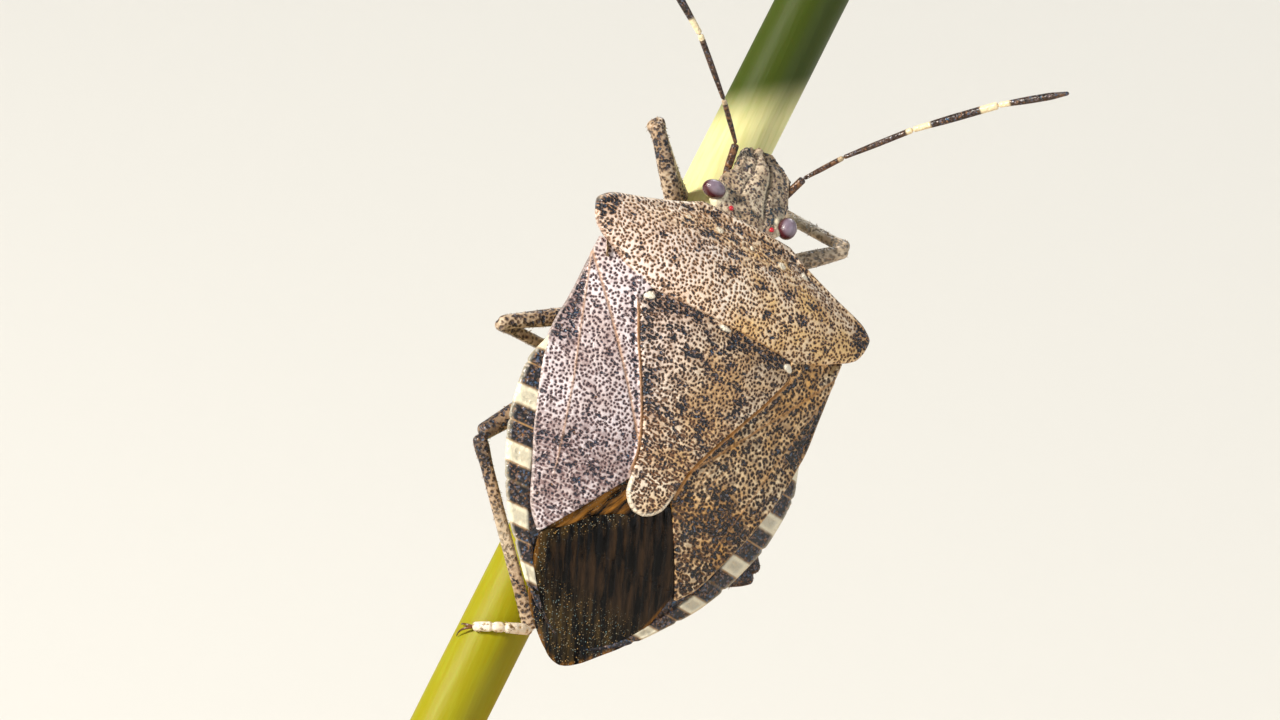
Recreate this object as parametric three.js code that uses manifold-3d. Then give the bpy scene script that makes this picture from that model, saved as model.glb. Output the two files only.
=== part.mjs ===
// Shield bug at life size, gripping a cut length of plant stem held by a small display stand.
//
// Millimetres, +Z up. The origin is the middle of the stand's underside.
// The insect is made in a frame of its own: x to its right, y forwards, z out of its back,
// with the origin midway between the two shoulder angles. One group turns that frame into
// the climbing pose, stem and all.

import * as THREE from 'three';
import { mergeVertices } from 'three/addons/utils/BufferGeometryUtils.js';
import Module from 'manifold-3d';

const wasm = await Module();
wasm.setup();

const { clamp, degToRad, lerp, smoothstep } = THREE.MathUtils;

// Clearances and thicknesses

const GAP = 0.24;
const WING = 0.5;
const SHEET_RIM = 0.3;

// Pose of the insect over the stand

const BODY_AT = [0.5, -0.5, 20];
const CLIMB = 54.84;
const HEADING = 43.67;
const ROLL = 62.42;

// Main sizes of the body

const SHOULDER_HALF = 4.26;
const COLLAR_Y = 1.44;
const SHIELD_Y = -1.5;
const SCUTELLUM_END_Y = -6.95;
const WING_BREAK_Y = -6.2;
const CORIUM_Y = -1.25;
const CORIUM_END_Y = -8.2;
const MEMBRANE_END_Y = -11.25;
const ABDOMEN_Y = -2.6;
const ABDOMEN_END_Y = -10.6;
const MARGIN_Z = -0.05;

// Head, in its own frame: y forwards from the line of the eyes, z out of its flat top

const HEAD_AT = [0, 1.97, -0.84];
const HEAD_DROOP = 20;
const HEAD_BACK = -0.2;
const HEAD_FRONT = 1.82;
const EYE_SPREAD = 1.17;
const EYE_RADII = [0.3, 0.27, 0.27];
const TYLUS_HALF = 0.3;
const FEELER_THICK = 0.25;

// Stem: where its axis runs under the body, and its size

const STEM_RADIUS = 0.9;
const STEM_X = -0.122;
const STEM_DRIFT = 0.052;
const STEM_Z = -4.05;
const STEM_TOP_Y = 10.6;
const STEM_CUT_HEIGHT = 7.2;

// Stand

const BASE_RADIUS = 12.5;
const BASE_THICK = 2.6;
const BASE_CHAMFER = 0.5;
const ROD_RADIUS = 0.9;

// Colours of the living insect, its perch and the stand

const FINISHES = {
  shield: new THREE.MeshStandardMaterial({ color: '#8a6f57', roughness: 0.55 }),
  wing: new THREE.MeshStandardMaterial({ color: '#a88c84', roughness: 0.5 }),
  membrane: new THREE.MeshStandardMaterial({ color: '#2c211c', roughness: 0.3 }),
  underside: new THREE.MeshStandardMaterial({ color: '#c9b190', roughness: 0.5 }),
  rim: new THREE.MeshStandardMaterial({ color: '#3a3431', roughness: 0.45 }),
  leg: new THREE.MeshStandardMaterial({ color: '#b89a78', roughness: 0.5 }),
  foot: new THREE.MeshStandardMaterial({ color: '#e6d8bd', roughness: 0.5 }),
  feeler: new THREE.MeshStandardMaterial({ color: '#3b2c24', roughness: 0.5 }),
  eye: new THREE.MeshStandardMaterial({ color: '#5e3b42', roughness: 0.25 }),
  stem: new THREE.MeshStandardMaterial({ color: '#c9bb36', roughness: 0.5 }),
  beech: new THREE.MeshStandardMaterial({ color: '#c79f6b', roughness: 0.6 }),
  steel: new THREE.MeshStandardMaterial({ color: '#b9bcc0', roughness: 0.3, metalness: 1 }),
};

// Outlines, each a smooth run through [place along the body, size] pairs

const pronotumHalf = profile([[-1.5, 2.42], [-1.13, 3.12], [-0.7, 3.82], [-0.2, 4.2], [0.12, SHOULDER_HALF],
  [0.42, 4.0], [0.8, 2.95], [1.2, 1.95], [1.5, 1.36]]);
const pronotumRim = profile([[-1.5, 0.62], [-0.8, 0.3], [0, 0], [0.8, -0.3], [1.5, -0.62]]);
const roofMid = profile([[-11.3, -0.2], [-10, 0.05], [-8.5, 0.42], [-6.9, 0.72], [-5, 0.88],
  [-3, 1.0], [-1.6, 1.08], [-0.8, 1.0], [0, 0.75], [0.9, 0.08], [1.5, -0.47]]);
const bellyMid = profile([[-10.6, -0.95], [-10, -1.2], [-9, -1.55], [-7, -1.95], [-5, -2.1],
  [-2, -2.05], [0.4, -1.95], [1.4, -1.7]]);
const bodyHalf = profile([[-10.6, 0.55], [-10.1, 1.36], [-9.2, 2.25], [-8.2, 3.08], [-7, 3.72],
  [-5.8, 4.12], [-4.6, 4.24], [-3.6, 3.95], [-2.3, 3.79], [-0.8, 3.85]]);
const costaHalf = profile([[-8.45, 2.14], [-7.9, 2.61], [-7.17, 2.94], [-5.8, 3.5], [-4.1, 3.93],
  [-3.5, 3.98], [-2.3, 3.86], [-0.8, 3.8]]);
const scutellumHalf = profile([[-6.95, 0.16], [-6.8, 0.38], [-6.55, 0.56], [-6.2, 0.64], [-5.5, 0.72],
  [-4.72, 1.0], [-3.96, 1.37], [-3.46, 1.62], [-2.87, 1.93], [-2.2, 2.2], [-1.75, 2.32]]);

// The side of the whole wing at the left edge of its dark, see-through part
const membraneLeft = profile([[-11.25, -0.2], [-10.86, -0.71], [-10.08, -1.3], [-9.2, -1.75],
  [-8.45, -1.98], [-8.03, -1.57], [-7.5, -1.05], [-7.0, -0.16]]);
const membraneRight = profile([[-11.25, 0.22], [-10.66, 0.99], [-9.83, 1.53], [-9.1, 1.86],
  [-8.45, 2.02]]);

// Small shape tools

// Monotone cubic curve through [place, value] pairs in rising order, level beyond its ends
function profile(pairs) {
  const n = pairs.length;
  const step = (i) => (pairs[i + 1][1] - pairs[i][1]) / (pairs[i + 1][0] - pairs[i][0]);
  const slopes = pairs.map((pair, i) => {
    if (i === 0) return step(0);
    if (i === n - 1) return step(n - 2);
    const [before, after] = [step(i - 1), step(i)];
    return before * after <= 0 ? 0 : (2 * before * after) / (before + after);
  });
  return (at) => {
    if (at <= pairs[0][0]) return pairs[0][1];
    if (at >= pairs[n - 1][0]) return pairs[n - 1][1];
    const i = pairs.findIndex((pair) => pair[0] > at) - 1;
    const width = pairs[i + 1][0] - pairs[i][0];
    const t = (at - pairs[i][0]) / width;
    const bend = t * t * (3 - 2 * t);
    const ease = t * (1 - t);
    return lerp(pairs[i][1], pairs[i + 1][1], bend)
      + width * ease * ((1 - t) * slopes[i] - t * slopes[i + 1]);
  };
}

function geometryFrom(points, triangles) {
  const geometry = new THREE.BufferGeometry();
  geometry.setAttribute('position', new THREE.Float32BufferAttribute(points.flat(), 3));
  geometry.setIndex(triangles);
  return faceOutwards(geometry);
}

function signedVolume(geometry) {
  const { position } = geometry.attributes;
  const corner = (k) => new THREE.Vector3().fromBufferAttribute(position, geometry.index.getX(k));
  let total = 0;
  for (let k = 0; k < geometry.index.count; k += 3) {
    total += corner(k).dot(corner(k + 1).cross(corner(k + 2)));
  }
  return total / 6;
}

function faceOutwards(geometry) {
  if (signedVolume(geometry) < 0) {
    const { array } = geometry.index;
    for (let k = 0; k < array.length; k += 3) [array[k], array[k + 1]] = [array[k + 1], array[k]];
  }
  geometry.computeVertexNormals();
  return geometry;
}

// Closed plate between two faces, each a function of (across, along) from 0 to 1
function plate(columns, rows, upper, lower) {
  const points = [];
  for (const face of [upper, lower]) {
    for (let i = 0; i <= rows; i += 1) {
      for (let j = 0; j <= columns; j += 1) points.push(face(j / columns, i / rows));
    }
  }
  const wide = columns + 1;
  const below = wide * (rows + 1);
  const triangles = [];
  for (let i = 0; i < rows; i += 1) {
    for (let j = 0; j < columns; j += 1) {
      const a = i * wide + j;
      const [b, c, d] = [a + 1, a + wide, a + wide + 1];
      triangles.push(a, c, b, b, c, d);
      triangles.push(below + a, below + b, below + c, below + b, below + d, below + c);
    }
  }
  const wall = (a, b) => triangles.push(a, b, below + a, b, below + b, below + a);
  for (let j = 0; j < columns; j += 1) {
    wall(j, j + 1);
    wall(rows * wide + j + 1, rows * wide + j);
  }
  for (let i = 0; i < rows; i += 1) {
    wall((i + 1) * wide, i * wide);
    wall(i * wide + columns, (i + 1) * wide + columns);
  }
  return geometryFrom(points, triangles);
}

// Closed skin over rings of equally many points, with a fan at each end
function loft(rings) {
  const sides = rings[0].length;
  const middle = (ring) => [0, 1, 2].map((k) => ring.reduce((sum, p) => sum + p[k], 0) / sides);
  const points = [...rings.flat(), middle(rings[0]), middle(rings.at(-1))];
  const [first, last] = [points.length - 2, points.length - 1];
  const top = (rings.length - 1) * sides;
  const triangles = [];
  for (let k = 0; k < sides; k += 1) {
    const next = (k + 1) % sides;
    for (let i = 0; i < rings.length - 1; i += 1) {
      const [a, b] = [i * sides + k, i * sides + next];
      triangles.push(a, b, a + sides, b, b + sides, a + sides);
    }
    triangles.push(next, k, first, top + k, top + next, last);
  }
  return geometryFrom(points, triangles);
}

// Rings of a round limb along a path, given as a function of 0 to 1
function tubeRings(path, radius, steps, sides) {
  const rings = [];
  let side = new THREE.Vector3(1, 0, 0);
  for (let i = 0; i <= steps; i += 1) {
    const t = i / steps;
    const reach = 0.5 / steps;
    const ahead = path(Math.min(1, t + reach)).sub(path(Math.max(0, t - reach))).normalize();
    side = side.addScaledVector(ahead, -side.dot(ahead)).normalize();
    const up = new THREE.Vector3().crossVectors(ahead, side);
    const ring = [];
    for (let k = 0; k < sides; k += 1) {
      const turn = (k / sides) * 2 * Math.PI;
      ring.push(path(t)
        .addScaledVector(side, radius(t) * Math.cos(turn))
        .addScaledVector(up, radius(t) * Math.sin(turn))
        .toArray());
    }
    rings.push(ring);
  }
  return rings;
}

function straight(from, to) {
  const [start, end] = [new THREE.Vector3(...from), new THREE.Vector3(...to)];
  return (t) => start.clone().lerp(end, t);
}

// A limb length between two joints, drawn back at each end by half a gap
function shortened(from, to, back = GAP / 2) {
  const line = straight(from, to);
  const length = line(0).distanceTo(line(1));
  return straight(line(back / length).toArray(), line(1 - back / length).toArray());
}

function limb(from, to, radius, { steps = 5, sides = 8, back } = {}) {
  const path = shortened(from, to, back);
  return loft(tubeRings(path, radius, steps, sides));
}

// Solid joining and cutting

function toSolid(geometry) {
  const bare = geometry.clone();
  bare.deleteAttribute('normal');
  bare.deleteAttribute('uv');
  const merged = mergeVertices(bare, 1e-4);
  return new wasm.Manifold(new wasm.Mesh({
    numProp: 3,
    vertProperties: merged.attributes.position.array,
    triVerts: new Uint32Array(merged.index.array),
  }));
}

function fromSolid(solid) {
  const largest = solid.decompose().sort((a, b) => b.volume() - a.volume())[0];
  const { vertProperties, triVerts } = largest.getMesh();
  const geometry = new THREE.BufferGeometry();
  geometry.setAttribute('position', new THREE.BufferAttribute(vertProperties, 3));
  geometry.setIndex(new THREE.BufferAttribute(triVerts, 1));
  geometry.computeVertexNormals();
  return geometry;
}

function joined(pieces) {
  return fromSolid(pieces.map(toSolid).reduce((whole, piece) => whole.add(piece)));
}

function cutBy(geometry, tools) {
  return fromSolid(tools.map(toSolid).reduce((left, tool) => left.subtract(tool), toSolid(geometry)));
}

function named(name, geometry, finish) {
  const mesh = new THREE.Mesh(geometry, FINISHES[finish]);
  mesh.name = name;
  return mesh;
}

// Surfaces of the whole body that the plates share

function roof(x, y) {
  const out = clamp(Math.abs(x) / bodyHalf(y), 0, 1);
  return MARGIN_Z + (roofMid(y) - MARGIN_Z) * (1 - out ** 2.2);
}

function pronotumTop(x, y) {
  const out = clamp(Math.abs(x) / pronotumHalf(y), 0, 1);
  return pronotumRim(y) + (roofMid(y) - pronotumRim(y)) * (1 - out ** 2.1);
}

function pronotumUnder(x, y) {
  return pronotumTop(x, y) - SHEET_RIM - 0.35 * (1 - (x / pronotumHalf(y)) ** 2);
}

function belly(x, y, half) {
  const out = clamp(Math.abs(x) / half, 0, 1);
  const rim = MARGIN_Z - SHEET_RIM;
  return rim + (bellyMid(y) - rim) * (1 - out ** 2.3);
}

const suture = (y) => 0.62 + (WING_BREAK_Y - y) * 0.665;

// Shield plates of the back

function pronotum() {
  const place = (u, v) => {
    const y = lerp(COLLAR_Y, SHIELD_Y, v);
    return [(2 * u - 1) * pronotumHalf(y), y];
  };
  const upper = (u, v) => {
    const [x, y] = place(u, v);
    return [x, y, pronotumTop(x, y)];
  };
  const lower = (u, v) => {
    const [x, y] = place(u, v);
    return [x, y, pronotumUnder(x, y)];
  };
  return plate(18, 12, upper, lower);
}

function scutellum() {
  const face = (drop) => (u, v) => {
    const y = lerp(SHIELD_Y - GAP, SCUTELLUM_END_Y, v);
    const x = (2 * u - 1) * scutellumHalf(y);
    return [x, y, roof(x, y) + 0.05 - drop];
  };
  return plate(10, 14, face(0), face(WING));
}

// Leathery front part of a forewing, with its two main veins raised along grid columns
function corium(side) {
  const inner = (y) => {
    const underShield = y + GAP > SHIELD_Y ? pronotumHalf(y + GAP) + 0.6 * GAP : 0;
    const beside = Math.max(underShield, scutellumHalf(y) + GAP);
    return y > WING_BREAK_Y ? beside : Math.max(beside, suture(y) + GAP / 2);
  };
  const outer = (y) => costaHalf(y) - GAP / 2;
  const claval = (y) => 3.72 + (y + 1.33) * 0.727;
  const radial = (y) => 3.79 + (y + 1.42) * 0.24;
  const columns = (y) => {
    const [low, high] = [inner(y), outer(y)];
    const span = high - low;
    const first = clamp(claval(y), low + 0.12 * span, low + 0.55 * span);
    const second = clamp(radial(y), first + 0.2 * span, high - 0.15 * span);
    return [low, lerp(low, first, 0.6), first, lerp(first, second, 0.25), lerp(first, second, 0.75),
      second, lerp(second, high, 0.4), high];
  };
  const veins = [0, 0, 0.1, 0, 0, 0.1, 0, 0.04];
  const face = (drop) => (u, v) => {
    const y = lerp(CORIUM_Y, CORIUM_END_Y, v);
    const column = Math.round(u * 7);
    const x = side * columns(y)[column];
    return [x, y, roof(x, y) + (drop ? -drop : veins[column])];
  };
  return plate(7, 18, face(0), face(WING));
}

// Smoky rear part of the right forewing, lying over the left one, its veins raised lengthwise
function membraneOver() {
  const crossing = SCUTELLUM_END_Y - GAP;
  const left = (y) => (y > crossing ? scutellumHalf(y) + GAP : membraneLeft(y));
  const right = (y) => (y > CORIUM_END_Y ? suture(y) - GAP / 2 : membraneRight(y));
  const face = (drop) => (u, v) => {
    const y = lerp(-6.75, MEMBRANE_END_Y, v);
    const low = left(y);
    const x = lerp(low, Math.max(right(y), low + 0.15), u);
    const vein = Math.round(u * 14) % 2 === 1 ? 0.09 : 0;
    return [x, y, roof(x, y) - 0.06 + (drop ? -drop : vein)];
  };
  return plate(14, 14, face(0), face(0.4));
}

// The strip of the left forewing's rear part that shows beside its mate
function membraneUnder() {
  const face = (drop) => (u, v) => {
    const y = lerp(-6.75, -7.5, v);
    const low = -suture(y) + GAP / 2;
    const lap = Math.min(-scutellumHalf(y), membraneLeft(Math.min(y, -7.1))) - GAP;
    const x = lerp(low, Math.max(lap, low + 0.12), u);
    return [x, y, roof(x, y) - 0.06 - drop];
  };
  return plate(3, 6, face(0), face(0.4));
}

// Undersides

function frontThorax() {
  const half = (y) => pronotumHalf(y) - 0.75;
  const upper = (u, v) => {
    const y = lerp(1.25, -0.7, v);
    const x = (2 * u - 1) * half(y);
    return [x, y, pronotumUnder(x, y) - GAP - 0.2];
  };
  const lower = (u, v) => {
    const y = lerp(0.85, -0.7, v);
    const x = (2 * u - 1) * half(y) * 0.96;
    return [x, y, belly(x, y, half(y) * 1.02) - 0.1];
  };
  return plate(14, 6, upper, lower);
}

function rearThorax() {
  const half = (y) => Math.min(pronotumHalf(y), bodyHalf(y)) - 0.3;
  const wide = (y) => (y > -1.2 ? half(y) : lerp(half(-1.2), 3.2, smoothstep(-y, 1.2, 1.6)));
  const upper = (u, v) => {
    const y = lerp(-0.7 - GAP, ABDOMEN_Y + GAP, v);
    const x = (2 * u - 1) * wide(y);
    return [x, y, Math.min(pronotumUnder(x, y), roof(x, y) - WING - 0.1) - GAP];
  };
  const lower = (u, v) => {
    const y = lerp(-0.7 - GAP, ABDOMEN_Y + GAP, v);
    const x = (2 * u - 1) * wide(y);
    return [x, y, belly(x, y, wide(y) * 1.02) - 0.1];
  };
  return plate(14, 6, upper, lower);
}

// Abdomen with the banded rim that shows beside the wings, notched between its segments
function abdomen() {
  const segments = [-4.45, -6.0, -7.45, -8.75, -9.75];
  const notch = (y) => segments.reduce((sum, at) => sum + 0.1 * Math.max(0, 1 - Math.abs(y - at) / 0.12), 0);
  const rows = [ABDOMEN_Y, -3.2, -3.8];
  for (const [k, at] of segments.entries()) {
    rows.push(at + 0.12, at, at - 0.12);
    if (k < segments.length - 1) rows.push((at + segments[k + 1]) / 2);
  }
  rows.push(-10.1, -10.35, ABDOMEN_END_Y);
  const outer = (y) => bodyHalf(y) - notch(y);
  const step = (y) => Math.min(costaHalf(y) + GAP / 2, outer(y) - 0.06);
  const inner = (y) => step(y) - 0.06;
  const shown = (y) => smoothstep(-y, 3.95, 4.45) * (1 - smoothstep(-y, 9.3, 9.9));
  const across = [1, 1, 0.98, 0.7, 0.35];
  const half = (y, k) => (k === 0 ? outer(y) : k === 1 ? step(y) : inner(y) * across[k]);
  const height = (x, y, k) => {
    const tucked = roof(x, y) - WING - GAP - 0.16;
    const rim = MARGIN_Z + (k === 1 ? 0.05 : 0);
    return k < 2 ? lerp(Math.min(tucked, rim), rim, shown(y)) : tucked;
  };
  const columns = 10;
  const spot = (u) => {
    const column = Math.round(u * columns);
    const k = column <= 5 ? column : columns - column;
    return [column < 5 ? -1 : 1, k];
  };
  const upper = (u, v) => {
    const y = rows[Math.round(v * (rows.length - 1))];
    const [side, k] = spot(u);
    const x = k === 5 ? 0 : side * half(y, k);
    return [x, y, height(x, y, k)];
  };
  const lower = (u, v) => {
    const y = rows[Math.round(v * (rows.length - 1))];
    const [side, k] = spot(u);
    const x = k === 5 ? 0 : side * outer(y) * [1, 0.93, 0.82, 0.6, 0.3][k];
    const sunk = Math.min(belly(x, y, outer(y)), height(x, y, 0) - 0.3);
    return [x, y, k === 0 ? height(x, y, 0) - 0.25 : sunk];
  };
  return plate(columns, rows.length - 1, upper, lower);
}

// Head

function headFrame() {
  const frame = new THREE.Group();
  frame.position.set(...HEAD_AT);
  frame.rotation.x = -degToRad(HEAD_DROOP);
  frame.updateMatrixWorld();
  return frame;
}

function inBodyFrame(point) {
  return headFrame().localToWorld(new THREE.Vector3(...point)).toArray();
}

function eyeBall(side, grow) {
  const ball = new THREE.SphereGeometry(1, 14, 10);
  const [rx, ry, rz] = EYE_RADII;
  ball.scale(rx + grow, ry + grow, rz + grow);
  ball.translate(side * EYE_SPREAD, 0, 0);
  return ball;
}

function head() {
  const half = profile([[-0.2, 0.9], [0, 0.94], [0.3, 1.0], [0.59, 1.03], [0.79, 0.94], [0.98, 0.83],
    [1.38, 0.79], [1.57, 0.7], [1.7, 0.54], [HEAD_FRONT, 0.3]]);
  const under = profile([[HEAD_BACK, -0.5], [0.1, -1.0], [0.9, -0.95], [1.4, -0.62], [HEAD_FRONT, -0.3]]);
  const places = [HEAD_BACK, 0.05, 0.35, 0.6, 0.8, 1.0, 1.3, 1.53, 1.7, HEAD_FRONT];
  const groove = (x, y) => {
    const edge = TYLUS_HALF * (1 - 0.25 * smoothstep(y, 0.4, 1.7));
    return 0.1 * Math.max(0, 1 - Math.abs(Math.abs(x) - edge) / 0.1) * smoothstep(y, 0.2, 0.8);
  };
  const across = [-1, -0.8, -0.58, -0.42, -0.3, -0.12, 0.12, 0.3, 0.42, 0.58, 0.8, 1];
  const rings = places.map((y) => {
    const wide = half(y);
    const over = across.map((u) => {
      const x = u * wide;
      return [x, y, -0.14 * u * u * wide - groove(x, y) - 0.16 * smoothstep(y, 1.2, HEAD_FRONT)];
    });
    const below = [0.9, 0.5, 0, -0.5, -0.9].map((u) => [
      u * wide * 0.92, y, lerp(under(y), -0.25, Math.abs(u) ** 2.4),
    ]);
    return [...over, ...below];
  });
  const eyeSockets = [-1, 1].map((side) => eyeBall(side, GAP * 0.9));
  const toHead = headFrame().matrixWorld.clone().invert();
  const feelerSockets = Object.values(FEELERS).map((joints) => feelerPart(joints, 0, GAP).applyMatrix4(toHead));
  return cutBy(loft(rings), [...eyeSockets, ...feelerSockets]);
}

function rostrum() {
  const path = (t) => new THREE.Vector3(0, lerp(2.45, -3.0, t), lerp(-2.58, -2.62, t));
  return loft(tubeRings(path, (t) => lerp(0.25, 0.16, t ** 3), 8, 8));
}

// Feelers: joints from the head out to the tip

const FEELERS = {
  left: [[-0.8, 2.42, -1.5], [-1.02, 3.4, -1.18], [-1.96, 4.2, -0.81], [-3.45, 5.33, -0.36],
    [-5.4, 6.48, -0.17], [-7.15, 7.43, -0.17]],
  right: [[0.8, 2.42, -1.5], [1.05, 3.39, -0.99], [1.51, 4.19, -0.12], [2.47, 5.41, 1.23],
    [3.85, 6.74, 2.64], [5.0, 7.58, 3.98]],
};
const FEELER_PARTS = ['scape', 'pedicel_1', 'pedicel_2', 'flagellum_1', 'flagellum_2'];

function feelerPart(joints, part, grow = 0) {
  const last = part === FEELER_PARTS.length - 1;
  const radius = (t) => {
    const ends = 0.72 + 0.28 * Math.min(1, 8 * t, 8 * (1 - t));
    return FEELER_THICK * ends * (last ? 1 - 0.65 * t ** 4 : 1) + grow;
  };
  return limb(joints[part], joints[part + 1], radius, { steps: 5, sides: 7, back: GAP / 2 - grow });
}

// Stem, and places round it

function stemPoint(y, angle = 0, out = 0) {
  const turn = degToRad(angle);
  return [STEM_X + STEM_DRIFT * y + out * Math.cos(turn), y, STEM_Z + out * Math.sin(turn)];
}

// Legs: hip and knee, and the clasp of the foot round the stem as angles about its axis

const LEGS = {
  front_left: { hip: [-0.85, 0.45], knee: [-3.16, 2.99, -1.6], clasp: [165, 245], reach: [1.9, 2.3] },
  front_right: { hip: [0.85, 0.45], knee: [3.2, 2.36, -1.51], clasp: [12, -65], reach: [2.9, 3.2] },
  middle_left: { hip: [-0.95, -1.35], knee: [-4.61, -3.58, -2.38], clasp: [168, 245], reach: [-3.3, -3.5] },
  middle_right: { hip: [0.95, -1.35], knee: [3.9, -3.6, -2.7], clasp: [10, -65], reach: [-5.8, -6.0] },
  hind_left: { hip: [-1.15, -2.45], knee: [-4.02, -6.55, -1.8], clasp: [50, 150], reach: [-10.25, -11.0] },
  hind_right: { hip: [1.15, -2.45], knee: [4.59, -6.4, -2.05], clasp: [10, -65], reach: [-9.6, -9.8] },
};
const COXA_Z = -2.2;
const COXA_RADII = [0.38, 0.42, 0.34];
const FEMUR_THICK = 0.27;
const TIBIA_THICK = 0.25;
const FOOT_THICK = 0.23;
const CLAW_LENGTH = 0.5;

function coxaBall(leg, grow) {
  const ball = new THREE.SphereGeometry(1, 12, 8);
  const [rx, ry, rz] = COXA_RADII;
  ball.scale(rx + grow, ry + grow, rz + grow);
  ball.translate(leg.hip[0], leg.hip[1], COXA_Z);
  return ball;
}

function footPath(leg) {
  const [from, to] = leg.clasp;
  const [start, end] = leg.reach;
  const out = STEM_RADIUS + GAP + FOOT_THICK;
  return (t) => new THREE.Vector3(...stemPoint(lerp(start, end, t), lerp(from, to, t), out));
}

// Upper leg from just beside the hip to the knee
function femur(leg, grow = 0) {
  const hip = new THREE.Vector3(leg.hip[0], leg.hip[1], COXA_Z - 0.15);
  const knee = new THREE.Vector3(...leg.knee);
  const away = knee.clone().sub(hip).normalize();
  const root = hip.addScaledVector(away, COXA_RADII[1] + GAP / 2);
  const radius = (t) => FEMUR_THICK * (0.8 + 0.2 * Math.min(1, 6 * t, 6 * (1 - t))) + grow;
  return limb(root.toArray(), leg.knee, radius, { back: GAP / 2 - grow });
}

function tibia(leg, grow = 0) {
  const ankle = footPath(leg)(0).toArray();
  const radius = (t) => TIBIA_THICK * (0.85 + 0.15 * Math.min(1, 8 * t, 8 * (1 - t))) + grow;
  const shank = limb(leg.knee, ankle, radius, { back: GAP / 2 - grow });
  return grow ? shank : cutBy(shank, [femur(leg, GAP)]);
}

// Foot of three short joints, bent round the stem, with a pair of claws at its end
function foot(leg) {
  const path = footPath(leg);
  const start = (GAP / 2 + TIBIA_THICK) / path(0).distanceTo(path(1));
  const sole = (t) => path(lerp(start, 0.82, t));
  const radius = (t) => FOOT_THICK * (0.84 + 0.16 * Math.abs(Math.cos(3 * Math.PI * t)));
  const toe = sole(1);
  const ahead = path(1).sub(path(0.8)).normalize();
  const along = new THREE.Vector3(STEM_DRIFT, 1, 0).normalize();
  const claws = [-1, 1].map((side) => {
    const root = toe.clone().addScaledVector(ahead, -0.12).addScaledVector(along, side * 0.06);
    const tip = toe.clone().addScaledVector(ahead, CLAW_LENGTH).addScaledVector(along, side * 0.3);
    return loft(tubeRings(straight(root.toArray(), tip.toArray()), (t) => lerp(0.13, 0.05, t), 2, 6));
  });
  const whole = joined([loft(tubeRings(sole, radius, 7, 8)), ...claws]);
  return cutBy(whole, [tibia(leg, GAP)]);
}

// Stem, cut level at its foot so that the rod meets it squarely
function stem(bodyGroup) {
  const sides = 14;
  const steps = 8;
  const up = new THREE.Vector3(0, 0, 1).applyQuaternion(bodyGroup.quaternion.clone().invert());
  const direction = new THREE.Vector3(STEM_DRIFT, 1, 0).normalize();
  const cut = STEM_CUT_HEIGHT - BODY_AT[2];
  const rings = [];
  for (let i = 0; i <= steps; i += 1) {
    const ring = [];
    for (let k = 0; k < sides; k += 1) {
      const angle = (360 * k) / sides;
      const end = new THREE.Vector3(...stemPoint(STEM_TOP_Y, angle, STEM_RADIUS * 0.94));
      const toCut = (cut - end.dot(up)) / direction.dot(up);
      const foot = end.clone().addScaledVector(direction, toCut);
      ring.push(foot.lerp(end, i / steps).toArray());
    }
    rings.push(ring);
  }
  return loft(rings);
}

// Stand

function base() {
  const [r, h, c] = [BASE_RADIUS, BASE_THICK, BASE_CHAMFER];
  const section = [[0, 0], [r - c, 0], [r, c], [r, h - c], [r - c, h], [0, h]];
  const disc = new THREE.LatheGeometry(section.map(([x, y]) => new THREE.Vector2(x, y)), 48);
  disc.rotateX(Math.PI / 2);
  return faceOutwards(disc);
}

function rod(bodyGroup) {
  const up = new THREE.Vector3(0, 0, 1).applyQuaternion(bodyGroup.quaternion.clone().invert());
  const direction = new THREE.Vector3(STEM_DRIFT, 1, 0).normalize();
  const start = new THREE.Vector3(...stemPoint(0));
  const toCut = (STEM_CUT_HEIGHT - BODY_AT[2] - start.dot(up)) / direction.dot(up);
  const foot = bodyGroup.localToWorld(start.addScaledVector(direction, toCut));
  const length = STEM_CUT_HEIGHT - BASE_THICK - 2 * GAP;
  const pin = new THREE.CylinderGeometry(ROD_RADIUS, ROD_RADIUS, length, 16);
  pin.rotateX(Math.PI / 2);
  pin.translate(foot.x, foot.y, BASE_THICK + GAP + length / 2);
  return pin;
}

// Assembly

const insect = new THREE.Group();
insect.position.set(...BODY_AT);
insect.rotation.set(degToRad(CLIMB), degToRad(ROLL), degToRad(-HEADING), 'ZXY');
insect.updateMatrixWorld();

const skull = headFrame();
skull.add(named('head', head(), 'shield'));
skull.add(named('eye_left', eyeBall(-1, 0), 'eye'), named('eye_right', eyeBall(1, 0), 'eye'));
insect.add(skull, named('rostrum', rostrum(), 'leg'));

for (const [side, joints] of Object.entries(FEELERS)) {
  for (const [part, title] of FEELER_PARTS.entries()) {
    insect.add(named(`antenna_${side}_${title}`, feelerPart(joints, part), 'feeler'));
  }
}

insect.add(
  named('pronotum', pronotum(), 'shield'),
  named('scutellum', scutellum(), 'shield'),
  named('corium_left', corium(-1), 'wing'),
  named('corium_right', corium(1), 'wing'),
  named('membrane_left', membraneUnder(), 'membrane'),
  named('membrane_right', membraneOver(), 'membrane'),
);

const coxaSockets = Object.values(LEGS).map((leg) => coxaBall(leg, GAP));
insect.add(
  named('abdomen', cutBy(abdomen(), coxaSockets), 'rim'),
  named('thorax_front', cutBy(frontThorax(), coxaSockets), 'underside'),
  named('thorax_rear', cutBy(rearThorax(), coxaSockets), 'underside'),
);

for (const [title, leg] of Object.entries(LEGS)) {
  insect.add(
    named(`leg_${title}_coxa`, coxaBall(leg, 0), 'underside'),
    named(`leg_${title}_femur`, femur(leg), 'leg'),
    named(`leg_${title}_tibia`, tibia(leg), 'leg'),
    named(`leg_${title}_tarsus`, foot(leg), 'foot'),
  );
}

insect.add(named('perch_stem', stem(insect), 'stem'));

const model = new THREE.Group();
model.add(insect, named('stand_base', base(), 'beech'), named('stand_rod', rod(insect), 'steel'));

export default model;
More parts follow.
